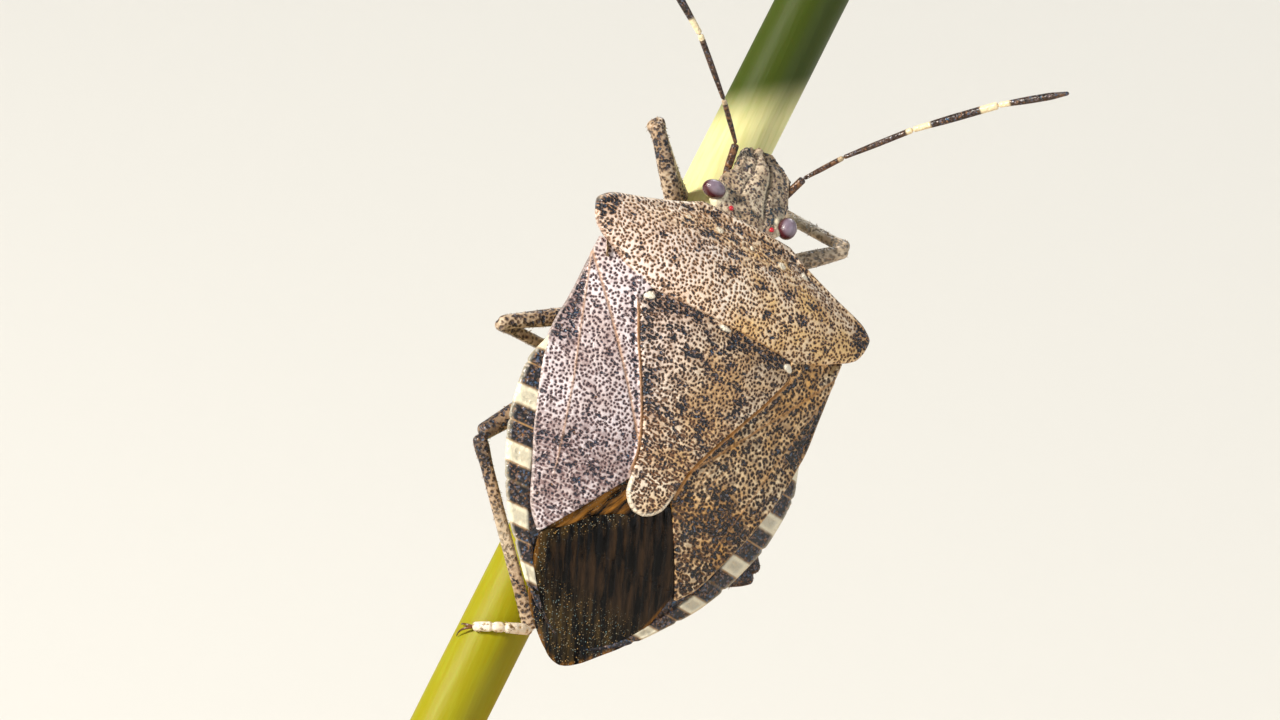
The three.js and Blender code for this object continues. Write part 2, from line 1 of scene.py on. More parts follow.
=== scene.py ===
# %% [markdown]
# A shield bug on a cut stem, at life size.
# The insect is about 15 mm long. Its hard plates, legs and feelers are each made as the real
# ones grow: a curved sheet or tube whose outline comes from a few measured sizes, then pits,
# veins and bristles laid over it by rules. This file is read from top to bottom, a cell at a time.

# %% Load the measured frame
import math

import bmesh
import bpy
import numpy as np
from mathutils import Matrix, Vector
from mathutils.kdtree import KDTree


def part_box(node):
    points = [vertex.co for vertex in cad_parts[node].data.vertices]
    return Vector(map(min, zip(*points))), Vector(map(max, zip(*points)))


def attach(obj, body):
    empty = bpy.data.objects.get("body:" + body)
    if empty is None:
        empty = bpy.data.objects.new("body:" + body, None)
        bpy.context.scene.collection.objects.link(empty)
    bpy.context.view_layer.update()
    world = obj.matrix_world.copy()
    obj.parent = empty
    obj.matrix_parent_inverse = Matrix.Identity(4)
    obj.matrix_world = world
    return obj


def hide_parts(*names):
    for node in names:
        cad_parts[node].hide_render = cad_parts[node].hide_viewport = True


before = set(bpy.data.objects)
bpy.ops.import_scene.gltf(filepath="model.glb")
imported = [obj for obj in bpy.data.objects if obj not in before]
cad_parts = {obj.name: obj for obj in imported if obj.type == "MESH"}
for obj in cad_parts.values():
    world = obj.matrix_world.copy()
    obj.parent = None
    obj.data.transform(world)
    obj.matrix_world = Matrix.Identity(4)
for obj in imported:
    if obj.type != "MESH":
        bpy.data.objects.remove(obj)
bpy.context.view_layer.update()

# %% [markdown]
# The insect climbs a slanting stem, so no plate of it lies along the world's axes.
# Modelling in a tilted place is hard to read. It is easier to model the body flat, in
# millimetres, with x to its right, y forwards and z out of its back, and to turn every
# finished point into the climbing pose with one matrix.

# %% The climbing pose
MM = 0.001
BODY_AT = np.array([0.5, -0.5, 20.0])
CLIMB = math.radians(54.84)
HEADING = math.radians(43.67)
ROLL = math.radians(62.42)
SETTLED = 0.17


def turn(axis, angle):
    return np.array(Matrix.Rotation(angle, 3, axis))


POSE = turn("Z", -HEADING) @ turn("X", CLIMB) @ turn("Y", ROLL)
HEAD_AT = np.array([0.0, 1.97, -0.84])
HEAD_TURN = turn("X", -math.radians(20))


def to_world(points):
    return (np.asarray(points, float) @ POSE.T + BODY_AT) * MM


def settle(points):
    x, y, z = np.asarray(points, float).T
    pressed = SETTLED * smooth(x, 1.2, 4.2) * smooth(-y, 2.0, 4.6)
    return np.stack([x - pressed, y, z], -1)


def head_to_body(points):
    return np.asarray(points, float) @ HEAD_TURN.T + HEAD_AT


EYE_SPREAD = 1.17
eye_low, eye_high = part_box("eye_left")
eye_miss = to_world(head_to_body([-EYE_SPREAD, 0, 0])) - np.array((eye_low + eye_high) / 2)
print("left eye is", round(float(np.linalg.norm(eye_miss)) / MM, 3), "mm from the frame's")

# %% [markdown]
# Outlines of living things have few corners. A monotone cubic curve through a handful of
# measured pairs gives a smooth edge that never swings past its points, as a plain spline would.

# %% Curves through measured pairs


def curve(pairs):
    places, values = np.array(pairs, float).T
    steps = np.diff(values) / np.diff(places)
    before, after = steps[:-1], steps[1:]
    total = np.where(before * after > 0, before + after, 1)
    inner = np.where(before * after > 0, 2 * before * after / total, 0)
    slopes = np.concatenate([steps[:1], inner, steps[-1:]])

    def at(y):
        y = np.clip(y, places[0], places[-1])
        i = np.clip(np.searchsorted(places, y, side="right") - 1, 0, len(places) - 2)
        width = places[i + 1] - places[i]
        t = (y - places[i]) / width
        bend = t * t * (3 - 2 * t)
        ease = t * (1 - t) * width
        return values[i] + (values[i + 1] - values[i]) * bend + ease * ((1 - t) * slopes[i] - t * slopes[i + 1])

    return at


def smooth(value, low, high):
    t = np.clip((value - low) / (high - low), 0, 1)
    return t * t * (3 - 2 * t)


def mound(value, centre, width):
    return np.exp(-(((value - centre) / width) ** 2))


SHOULDER_HALF = 4.26
MARGIN_Z = -0.05
pronotum_half = curve([(-1.5, 2.42), (-1.4, 2.56), (-1.13, 3.12), (-0.94, 3.42), (-0.7, 3.84), (-0.5, 4.06),
                       (-0.2, 4.2), (0.12, SHOULDER_HALF), (0.42, 4.0), (0.8, 2.95), (1.2, 1.95),
                       (1.5, 1.36)])
pronotum_rim = curve([(-1.5, 0.62), (-0.8, 0.3), (0, 0), (0.8, -0.3), (1.5, -0.62)])
roof_middle = curve([(-11.3, -0.2), (-10, 0.05), (-8.5, 0.42), (-6.9, 0.72), (-5, 0.88), (-3, 1.0),
                     (-1.6, 1.08), (-0.8, 1.0), (0, 0.75), (0.9, 0.08), (1.5, -0.47)])
belly_middle = curve([(-10.6, -0.95), (-10, -1.2), (-9, -1.55), (-7, -1.95), (-5, -2.1), (-2, -2.05),
                      (0.4, -1.95), (1.4, -1.7)])
body_half = curve([(-10.6, 0.55), (-10.1, 1.36), (-9.2, 2.25), (-8.2, 3.08), (-7, 3.72), (-5.8, 4.12),
                   (-4.6, 4.24), (-3.6, 3.95), (-2.3, 3.79), (-0.8, 3.85)])
costa_half = curve([(-8.45, 2.14), (-7.9, 2.61), (-7.17, 2.94), (-5.8, 3.5), (-4.1, 3.93), (-3.5, 3.98),
                    (-2.3, 3.86), (-0.8, 3.8)])


def roof(x, y):
    out = np.clip(np.abs(x) / body_half(y), 0, 1)
    return MARGIN_Z + (roof_middle(y) - MARGIN_Z) * (1 - out**2.2)


def pronotum_top(x, y):
    out = np.clip(np.abs(x) / pronotum_half(y), 0, 1)
    rim = pronotum_rim(y)
    return rim + (roof_middle(y) - rim) * (1 - out**2.1)


print("body is", round(float(2 * body_half(-4.6)), 2), "mm wide and stands",
      round(float(roof_middle(-1.6) - belly_middle(-5)), 2), "mm thick")

# %% [markdown]
# Every piece ends as a plain closed mesh. One helper stores the points, another welds the seams
# and turns the faces outwards, and a third dresses the piece and hides the frame parts it replaces.
# Each point also keeps its place on the flat body as an attribute called rest, so that markings
# stay on the insect however it is posed.

# %% Mesh helpers
WELD = 1e-7


def store(mesh, title, values):
    values = np.asarray(values, np.float32)
    vector = values.ndim == 2
    attribute = mesh.attributes.new(title, "FLOAT_VECTOR" if vector else "FLOAT", "POINT")
    attribute.data.foreach_set("vector" if vector else "value", values.ravel())


def add_piece(name, points, faces, fields=None, place=None):
    mesh = bpy.data.meshes.new(name)
    placed = place(points) if place else settle(points)
    mesh.from_pydata(to_world(placed).tolist(), [], faces)
    store(mesh, "rest", points)
    for title, values in (fields or {}).items():
        store(mesh, title, values)
    piece = bpy.data.objects.new(name, mesh)
    bpy.context.scene.collection.objects.link(piece)
    return seal(piece)


def seal(piece):
    shell = bmesh.new()
    shell.from_mesh(piece.data)
    bmesh.ops.remove_doubles(shell, verts=shell.verts, dist=WELD)
    bmesh.ops.recalc_face_normals(shell, faces=shell.faces)
    shell.to_mesh(piece.data)
    shell.free()
    piece.data.shade_smooth()
    return piece


def strips(rows, columns, wrap=False, start=0):
    around = columns if wrap else columns - 1
    i, j = np.meshgrid(np.arange(rows - 1), np.arange(around), indexing="ij")
    a = start + i * columns + j
    b = start + i * columns + (j + 1) % columns
    return np.stack([a, b, b + columns, a + columns], -1).reshape(-1, 4).tolist()


def dress(piece, material, slot, *nodes):
    piece.data.materials.clear()
    piece.data.materials.append(material)
    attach(piece, "root")
    if nodes:
        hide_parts(*nodes)
    triangles = sum(len(face.vertices) - 2 for face in piece.data.polygons)
    print(piece.name, "has", triangles, "triangles")
    return piece


# %% [markdown]
# Materials and growth rules are both node trees. One helper adds a node, gives it its settings,
# and links or sets each input, so that a tree reads like a list of sentences. A word after the
# node's kind is its mode, and a colour is written as its sRGB code.

# %% Node helpers


def add(tree, kind, *values, out=None, **settings):
    kind, _, mode = kind.partition(" ")
    made = tree.nodes.new(kind if "Node" in kind else "ShaderNode" + kind)
    if kind == "Mix":
        settings["data_type"] = "RGBA"
    if mode:
        settings["interpolation_type" if kind == "MapRange" else "operation"] = mode
    for key, value in settings.items():
        setattr(made, key, value)
    ready = [socket for socket in made.inputs if socket.enabled]
    given = []
    for socket, value in zip(ready, values):
        if isinstance(value, dict):
            given += [(next(s for s in ready if s.name == key), named) for key, named in value.items()]
        else:
            given.append((socket, value))
    for socket, value in given:
        if isinstance(value, bpy.types.NodeSocket):
            tree.links.new(value, socket)
        else:
            socket.default_value = paint(value) if str(value).startswith("#") else value
    if out:
        return made.outputs[out]
    return next((s for s in made.outputs if s.enabled), made)


def paint(code):
    parts = [int(code[i:i + 2], 16) / 255 for i in (1, 3, 5)]
    return [p / 12.92 if p <= 0.04045 else ((p + 0.055) / 1.055) ** 2.4 for p in parts] + [1.0]


def new_material(name):
    material = bpy.data.materials.new(name)
    material.use_nodes = True
    material.node_tree.nodes.clear()
    return material, material.node_tree


def close_material(tree, colour, roughness, height=None, bump_mm=0.02, **constants):
    inputs = {"Base Color": colour, "Roughness": roughness}
    if height is not None:
        inputs["Normal"] = add(tree, "Bump", {"Height": height, "Distance": bump_mm * MM, "Strength": 1.0})
    inputs.update({key.replace("_", " "): value for key, value in constants.items()})
    surface = add(tree, "BsdfPrincipled", inputs)
    add(tree, "OutputMaterial", {"Surface": surface})


def field(tree, title, vector=False):
    if tree.bl_idname == "ShaderNodeTree":
        return add(tree, "Attribute", out="Vector" if vector else "Fac", attribute_name=title)
    return add(tree, "GeometryNodeInputNamedAttribute", {"Name": title},
               data_type="FLOAT_VECTOR" if vector else "FLOAT")


print("white paint is", [round(part, 3) for part in paint("#FFFFFF")])

# %% [markdown]
# A shield bug's back is a hard sheet of cuticle, the insect's own plastic, pricked all over with
# tiny round pits about 0.1 mm apart. In darker patches the pits crowd and run together crosswise.
# The pits could be modelled one by one, but there are thousands. Here one rule draws them with
# cell noise. Both the growth tree, which sinks the pits into the mesh, and the paint, which colours
# them, call this same rule, so colour and relief always agree.

# %% The pit rule
PIT_SPACING = 0.1
PIT_REACH = 0.23
CROWDED_REACH = 0.43


def pit_rule(tree, dimensions="2D", spacing=PIT_SPACING, reach=PIT_REACH, crowded=CROWDED_REACH):
    rest = field(tree, "rest", vector=True)
    shade = field(tree, "shade")
    pale = field(tree, "pale")
    vein = field(tree, "vein")
    wander = add(tree, "TexNoise", rest, 3.0, 2.0, out="Color")
    wander = add(tree, "VectorMath SUBTRACT", wander, (0.5, 0.5, 0.5))
    wander = add(tree, "VectorMath SCALE", wander, 0.16)
    spot = add(tree, "VectorMath ADD", rest, wander)
    wide = add(tree, "VectorMath MULTIPLY", rest, (0.8, 1.2, 1.0))
    patches = add(tree, "TexNoise", wide, 2.8, 5.0, 0.68)
    patches = add(tree, "Math ADD", patches, shade)
    crowd = add(tree, "MapRange SMOOTHSTEP", patches, 0.52, 0.61)
    cells = add(tree, "TexVoronoi", spot, 1 / spacing, {"Randomness": 0.9}, out="Distance",
                voronoi_dimensions=dimensions)
    size = add(tree, "MapRange", crowd, 0.0, 1.0, reach, crowded)
    rise = add(tree, "Math SUBTRACT", size, cells)
    pit = add(tree, "MapRange SMOOTHSTEP", rise, -0.08, 0.06)
    halo = add(tree, "MapRange", rise, -0.3, -0.06)
    crosswise = add(tree, "VectorMath MULTIPLY", spot, (0.34, 1.05, 1.0))
    fold = add(tree, "TexVoronoi", crosswise, 1 / spacing, {"Randomness": 0.9}, out="Distance",
               voronoi_dimensions=dimensions)
    fold = add(tree, "MapRange SMOOTHSTEP", fold, 0.42, 0.28)
    folded = add(tree, "Math MAXIMUM", crowd, field(tree, "folds"))
    fold = add(tree, "Math MULTIPLY", fold, folded)
    bare = add(tree, "Math MAXIMUM", pale, vein)
    bare = add(tree, "Math SUBTRACT", 1.0, bare, use_clamp=True)
    marks = {"pit": pit, "fold": fold, "halo": halo}
    marks = {title: add(tree, "Math MULTIPLY", mark, bare) for title, mark in marks.items()}
    return marks | {"crowd": crowd, "cells": cells, "rest": rest, "pale": pale, "vein": vein}


def start_tree(name, **inputs):
    tree = bpy.data.node_groups.new(name, "GeometryNodeTree")
    for title, kind in inputs.items():
        tree.interface.new_socket(title, in_out="INPUT", socket_type="NodeSocket" + kind)
    tree.interface.new_socket("Skin", in_out="OUTPUT", socket_type="NodeSocketGeometry")
    return tree, tree.nodes.new("NodeGroupInput").outputs


def end_tree(tree, grown, finish):
    whole = add(tree, "GeometryNodeRealizeInstances", grown)
    dressed = add(tree, "GeometryNodeSetMaterial", {"Geometry": whole, "Material": finish})
    tree.links.new(dressed, tree.nodes.new("NodeGroupOutput").inputs[0])
    return tree


def pit_tree(name, dimensions="2D", **sizes):
    tree, given = start_tree(name, Sheet="Geometry", Depth="Float", Finish="Material")
    rule = pit_rule(tree, dimensions, **sizes)
    sunk = add(tree, "Math MAXIMUM", rule["pit"], rule["fold"])
    for share in (field(tree, "above"), given["Depth"], -1.0):
        sunk = add(tree, "Math MULTIPLY", sunk, share)
    offset = add(tree, "VectorMath SCALE", add(tree, "GeometryNodeInputNormal"), sunk)
    pitted = add(tree, "GeometryNodeSetPosition", {"Geometry": given["Sheet"], "Offset": offset})
    return end_tree(tree, pitted, given["Finish"])


def run_growth(piece, tree, inputs):
    modifier = piece.modifiers.new(tree.name, "NODES")
    modifier.node_group = tree
    for socket in tree.interface.items_tree:
        if socket.in_out == "INPUT" and socket.name in inputs:
            modifier[socket.identifier] = inputs[socket.name]
    depsgraph = bpy.context.evaluated_depsgraph_get()
    grown = piece.evaluated_get(depsgraph)
    result = bpy.data.meshes.new_from_object(grown, preserve_all_data_layers=True, depsgraph=depsgraph)
    piece.modifiers.remove(modifier)
    piece.data = result


flat_pits = pit_tree("pits_on_a_sheet")
print("a pit tree has", len(flat_pits.nodes), "nodes")

# %% [markdown]
# Cuticle is chitin, tanned by the insect until it is as hard as horn. It has no cloth-like sheen:
# it gives the eye a satin gloss over a deep, uneven colour. The ground is cream to tan, each pit
# has a rusty ring and a dark heart, and where pits crowd some of them shine blue or green.
# A picture could hold all this, but paint made by rule stays sharp at any size.

# %% Pitted cuticle
GLINT_WIDTH = 0.045
PIT_BUMP = 0.016
# A pale pinkish white, laid on as a painted sky sheen over left-facing parts of the back.
SKY_SHEEN_COLOUR = "#F2E6E6"


def pitted_cuticle(name, light, warm, ring, heart, deep, ivory, line="#9C6A45", mottle=0.5, dimensions="2D",
                   gloss=0.4, **sizes):
    material, tree = new_material(name)
    rule = pit_rule(tree, dimensions, **sizes)
    rest = rule["rest"]
    crowd = rule["crowd"]
    drift = add(tree, "TexNoise", rest, 0.9, 4.0)
    drift = add(tree, "MapRange", drift, 0.38, 0.62)
    mist = add(tree, "TexNoise", rest, 3.2, 7.0, 0.75)
    mist = add(tree, "Math ADD", mist, field(tree, "shade"))
    mist = add(tree, "MapRange", mist, 0.45, 0.6, 0.0, mottle)
    ringed = add(tree, "Math MULTIPLY", rule["halo"], 0.9)
    crowded = add(tree, "Math MULTIPLY", crowd, 0.3)
    black = field(tree, "black")
    glint = add(tree, "TexVoronoi", rest, 1 / GLINT_WIDTH, out="Color")
    chance = add(tree, "SeparateColor", glint, out="Red")
    turn_blue = add(tree, "SeparateColor", glint, out="Green")
    tint = add(tree, "Mix", turn_blue, "#A8743E", "#3F6C94")
    lucky = add(tree, "MapRange", chance, 0.68, 0.86)
    lucky = add(tree, "Math MULTIPLY", lucky, add(tree, "Math MAXIMUM", crowd, black))
    shine = add(tree, "Math MULTIPLY", lucky, 0.6)
    shine = add(tree, "Math MULTIPLY", shine, add(tree, "Math MAXIMUM", rule["pit"], black))
    softer = add(tree, "Math MULTIPLY", chance, 0.4)
    hearts = add(tree, "Mix", crowd, add(tree, "Mix", softer, heart, ring), deep)
    creases = add(tree, "Mix", crowd, ring, deep)
    colour = light
    # One coat is a painted sky sheen, a pale pinkish tint where the sky's reflection falls on the left side.
    for share, coat in ((drift, warm), (field(tree, "cool"), SKY_SHEEN_COLOUR), (mist, ring), (ringed, ring),
                        (crowded, ring), (rule["vein"], line), (black, deep), (rule["fold"], creases),
                        (rule["pit"], hearts), (shine, tint), (rule["pale"], ivory)):
        colour = add(tree, "Mix", share, colour, coat)
    grain = add(tree, "TexNoise", rest, 16.0, 3.0)
    ridge = add(tree, "MapRange", rule["cells"], 0.05, 0.6)
    height = add(tree, "Math MULTIPLY_ADD", rule["pit"], -0.8, ridge)
    height = add(tree, "Math MULTIPLY_ADD", grain, 0.7, height)
    roughness = add(tree, "MapRange", rule["pit"], 0.0, 1.0, gloss, gloss + 0.1)
    roughness = add(tree, "Math MULTIPLY_ADD", lucky, -0.15, roughness)
    close_material(tree, colour, roughness, height, PIT_BUMP, IOR=1.55)
    return material


# The forewings share one leather in two copies, lit and shaded. The left copy is pale and pinkish with painted
# sheen. The right copy, darker and browner with larger, more crowded pits, is painted shade on the wing that
# faces away from the light.
SHADED_COPY_PITS = {"spacing": 0.115, "reach": 0.27, "crowded": 0.48}
shield_cuticle = pitted_cuticle("shield_cuticle", "#FFF0DC", "#F2CA8C", "#9A6A38", "#33262A", "#161822",
                                "#F8EBD0", mottle=0.36)
scutellum_cuticle = pitted_cuticle("scutellum_cuticle", "#FAE8CE", "#D9B27E", "#714B2C", "#1C1418",
                                   "#0B0E1A", "#F8EFDA", mottle=0.35)
forewing_leather = pitted_cuticle("forewing_leather", "#EAE0E4", "#CDBCBA", "#7C5E5C", "#221A2A",
                                  "#141728", "#E4D4CC", line="#AF7F52", mottle=0.6)
forewing_shaded_copy = pitted_cuticle("forewing_leather_shaded_copy", "#FFEAC4", "#EAB364", "#64401E", "#140D0B",
                                "#0A0809", "#E2BE8C", line="#B27B3E", mottle=0.52, **SHADED_COPY_PITS)
shaded_copy_pits = pit_tree("larger_pits_on_a_sheet", **SHADED_COPY_PITS)
print("cuticles:", shield_cuticle.name, scutellum_cuticle.name, forewing_leather.name)

# %% [markdown]
# The plates of the back are curved sheets with thin rounded rims. A sheet could be cut from a
# subdivided plane, but its edge would be ragged. Here each plate is a grid that runs between its
# own left and right edge curves, so the rim is exact. Every point knows how far it lies from
# the rim, which rounds the edge over and later places the pale margins.

# %% Plate builder
GRID = 0.027


def eased(count):
    t = np.linspace(-1, 1, count)
    return (0.72 * t + 0.28 * np.sin(t * math.pi / 2) + 1) / 2


def edge_distance(x, y, left, right, front, rear):
    rows = np.linspace(front, rear, 900)
    ends = np.linspace(0, 1, 160)
    outline = [np.stack([side(rows), rows], 1) for side in (left, right)]
    for end in (front, rear):
        span = left(end) + (right(end) - left(end)) * ends
        outline.append(np.stack([span, np.full_like(span, end)], 1))
    outline = np.concatenate(outline)
    tree = KDTree(len(outline))
    for index, (px, py) in enumerate(outline):
        tree.insert((px, py, 0), index)
    tree.balance()
    spots = zip(x.ravel(), y.ravel())
    return np.array([tree.find((px, py, 0))[2] for px, py in spots]).reshape(x.shape)


def plate(name, left, right, front, rear, height, thickness, rim, paint_fields):
    count = int(abs(front - rear) / GRID)
    rows = rear + (front - rear) * eased(count)
    widest = float(np.max(right(rows) - left(rows)))
    across = eased(int(widest / GRID) + 8)
    x = left(rows)[:, None] + (right(rows) - left(rows))[:, None] * across
    y = np.repeat(rows[:, None], len(across), 1)
    edge = edge_distance(x, y, left, right, front, rear)
    edge[[0, -1], :] = 0
    edge[:, [0, -1]] = 0
    swell = np.sqrt(1 - (1 - np.clip(edge / rim, 0, 1)) ** 2)
    skin = height(x, y, edge)
    upper = np.stack([x, y, skin - rim * (1 - swell)], -1)
    lower = np.stack([x, y, skin - rim - (thickness - rim) * swell], -1)
    points = np.concatenate([upper.reshape(-1, 3), lower.reshape(-1, 3)])
    fields = {title: np.tile(values.ravel(), 2) for title, values in paint_fields(x, y, edge).items()}
    fields["above"] = np.concatenate([smooth(edge, 0.0, 0.05).ravel(), np.zeros(x.size)])
    faces = strips(*x.shape) + strips(*x.shape, start=x.size)
    return add_piece(name, points, faces, fields)


def blobs(x, y, spots):
    total = np.zeros_like(x)
    for at_x, at_y, wide, long, strength in spots:
        total += strength * np.exp(-(((x - at_x) / wide) ** 2) - ((y - at_y) / long) ** 2)
    return total


# %% [markdown]
# The pronotum is the broad collar behind the head, with the two shoulder angles that give the
# bug its shield shape. It is steep in front, flat behind, and its front edge is turned up
# into a thin pale rim. Small pale bumps stand in a row across its front, over a darker band.

# %% Pronotum
PIT_DEPTH = 0.014 * MM
pronotum_dark = [(-1.41, 0.12, 0.22, 0.16, 0.22), (-0.44, -0.13, 0.2, 0.16, 0.24),
                 (0.58, -0.1, 0.2, 0.16, 0.24), (1.31, 0.12, 0.2, 0.2, 0.22), (-0.42, 0.3, 0.25, 0.12, 0.18),
                 (1.98, -0.4, 0.22, 0.18, 0.2), (-1.1, 0.62, 0.3, 0.14, 0.2), (0.75, 0.5, 0.25, 0.14, 0.2),
                 (0.9, -0.7, 0.25, 0.14, 0.15), (2.5, 0.1, 0.25, 0.2, 0.15),
                 (-4.05, 0.15, 0.3, 0.35, 0.4), (4.05, 0.15, 0.3, 0.35, 0.4), (-1.0, 1.15, 1.0, 0.2, 0.1),
                 (1.0, 1.15, 1.0, 0.2, 0.1)]
pronotum_pale = [(-0.9, 0.85, 0.1, 0.08, 1.4), (1.06, 0.77, 0.11, 0.09, 1.4), (1.82, 0.85, 0.09, 0.08, 1.2),
                 (0.09, 0.81, 0.06, 0.07, 1.0), (-1.8, 0.8, 0.07, 0.06, 0.9)]


def pronotum_height(x, y, edge):
    rolled = 0.06 * mound(edge, 0.1, 0.06) * smooth(y, -0.2, 0.3)
    hollow = -0.05 * mound(y, 1.05, 0.2) * (1 - smooth(np.abs(x), 1.2, 2.6))
    bumps = 0.03 * np.clip(blobs(x, y, pronotum_pale), 0, 1)
    return pronotum_top(x, y) + rolled + hollow + bumps


def pronotum_paint(x, y, edge):
    front = smooth(y, 0.0, 0.7)
    hollow = smooth(edge, 0.1, 0.3)
    shade = blobs(x, y, pronotum_dark) + 0.02 * front - 0.035
    margin = (1 - smooth(edge, 0.03, 0.06)) * smooth(y, 0.0, 0.25) * (0.5 + 0.5 * np.sin(x * 19))
    pale = smooth(blobs(x, y, pronotum_pale), 0.3, 0.6) + 0.3 * margin
    # hind draws a thin brown line along the collar's rear edges: partly the edge's own dark margin, partly
    # painted shade where the edge overhangs the scutellum.
    hind = (1 - smooth(edge, 0.01, 0.04)) * (1 - smooth(y, -0.5, -0.2))
    # This mask paints a sky sheen on the collar's left side, paler and pinker as a painted reflection, weaker
    # towards the front.
    cool = 0.65 * smooth(-x, -0.8, 2.2) * (1 - 0.6 * front)
    return {"shade": shade, "pale": np.clip(pale, 0, 1), "folds": 0.75 * front * hollow, "vein": 0.4 * hind,
            "cool": cool}


pronotum = plate("pronotum_plate", lambda y: -pronotum_half(y), pronotum_half, 1.5, -1.5,
                 pronotum_height, 0.34, 0.07, pronotum_paint)
run_growth(pronotum, flat_pits, {"Depth": PIT_DEPTH, "Finish": shield_cuticle})
dress(pronotum, shield_cuticle, "cuticle_brown", "pronotum")

# %% [markdown]
# The scutellum is the long triangle between the wings, ending in a rounded tongue. It lies over
# the inner edges of both forewings. Three ivory knobs mark its base, and its tongue has an ivory rim.

# %% Scutellum
scutellum_half = curve([(-6.96, 0.1), (-6.92, 0.2), (-6.8, 0.38), (-6.55, 0.56), (-6.2, 0.64), (-5.5, 0.72),
                        (-4.72, 1.0), (-3.96, 1.37), (-3.46, 1.62), (-2.87, 1.93), (-2.2, 2.22),
                        (-1.75, 2.42),
                        (-1.35, 2.5)])
# The first four dark patches lie along the front edge under the collar: partly crowded dark pits, partly
# painted shadow from the collar's edge.
scutellum_dark = [(-1.75, -1.75, 0.35, 0.2, 0.26), (-0.85, -1.72, 0.3, 0.14, 0.16),
                  (0.6, -1.75, 0.3, 0.16, 0.18),
                  (1.6, -1.75, 0.35, 0.18, 0.22), (-2.0, -2.6, 0.16, 0.9, 0.2),
                  (0.46, -2.5, 0.22, 0.16, 0.16),
                  (-0.58, -2.7, 0.25, 0.16, 0.16), (1.2, -3.2, 0.2, 0.2, 0.16), (0.43, -4.05, 0.25, 0.2, 0.1),
                  (-1.3, -3.9, 0.16, 0.8, 0.18), (0, -6.35, 0.5, 0.5, -0.14)]
scutellum_pale = [(-2.2, -1.68, 0.17, 0.1, 1.5), (2.2, -1.68, 0.17, 0.1, 1.5), (0, -1.6, 0.18, 0.07, 1.2)]


def scutellum_height(x, y, edge):
    knobs = 0.05 * np.clip(blobs(x, y, scutellum_pale), 0, 1)
    swelling = 0.05 * mound(y, -2.6, 0.9) * (1 - smooth(np.abs(x), 0.6, 1.8))
    sunk = 0.17 * smooth(y, -2.3, -1.55)
    return roof(x, y) + 0.05 + knobs + swelling - sunk


def scutellum_paint(x, y, edge):
    # A darker band across the scutellum's front edge, as painted shadow cast by the collar's raised hind edge.
    collar_shadow = 0.07 * smooth(y, -1.85, -1.62)
    shade = blobs(x, y, scutellum_dark) + 0.01 + collar_shadow
    tongue = (1 - smooth(edge, 0.03, 0.11)) * (1 - smooth(y, -6.4, -5.9))
    pale = smooth(blobs(x, y, scutellum_pale), 0.35, 0.6) + 0.6 * tongue
    folds = 0.25 + 0.75 * smooth(-y, 3.0, 4.4)
    # This mask paints the same sky sheen, a painted reflection, over the scutellum's left side.
    cool = 0.6 * smooth(-x, -0.2, 1.6)
    return {"shade": shade, "pale": np.clip(pale, 0, 1), "folds": folds, "cool": cool}


scutellum = plate("scutellum_plate", lambda y: -scutellum_half(y), scutellum_half, -1.35, -6.96,
                  scutellum_height, 0.25, 0.06, scutellum_paint)
run_growth(scutellum, flat_pits, {"Depth": PIT_DEPTH, "Finish": scutellum_cuticle})
dress(scutellum, scutellum_cuticle, "cuticle_brown", "scutellum")

# %% [markdown]
# The front two thirds of each forewing is the corium, stiff as leather. Two fine veins run down
# it from the shoulder, and a stripe along the scutellum marks its inner strip, the clavus.
# A long slanting seam behind ends it, where the smoky membrane begins.

# %% Forewings
WING_BREAK_Y = -6.2


def suture(y):
    return 0.62 + (WING_BREAK_Y - y) * 0.665


def corium_inner(y):
    lifted = smooth(y, -1.9, -1.45)
    tucked = (scutellum_half(y) - 0.07) * (1 - lifted) + (pronotum_half(y) - 0.25) * lifted
    return np.where(y > WING_BREAK_Y, tucked, np.maximum(scutellum_half(y) - 0.07, suture(y)))


def vein_lines(x, y):
    out = np.abs(x)
    claval = np.abs(out - (3.72 + (y + 1.33) * 0.727)) / 1.24
    radial = np.abs(out - (3.79 + (y + 1.42) * 0.24)) / 1.03
    reach = smooth(y, -7.2, -6.6)
    return mound(claval, 0, 0.035), mound(radial, 0, 0.03) * reach


def corium_height(x, y, edge):
    claval, radial = vein_lines(x, y)
    along_shield = mound(np.abs(x) - scutellum_half(y), 0.07, 0.05) * smooth(y, -6.3, -5.6)
    return roof(x, y) - 0.03 - 0.03 * claval + 0.02 * radial + 0.05 * along_shield


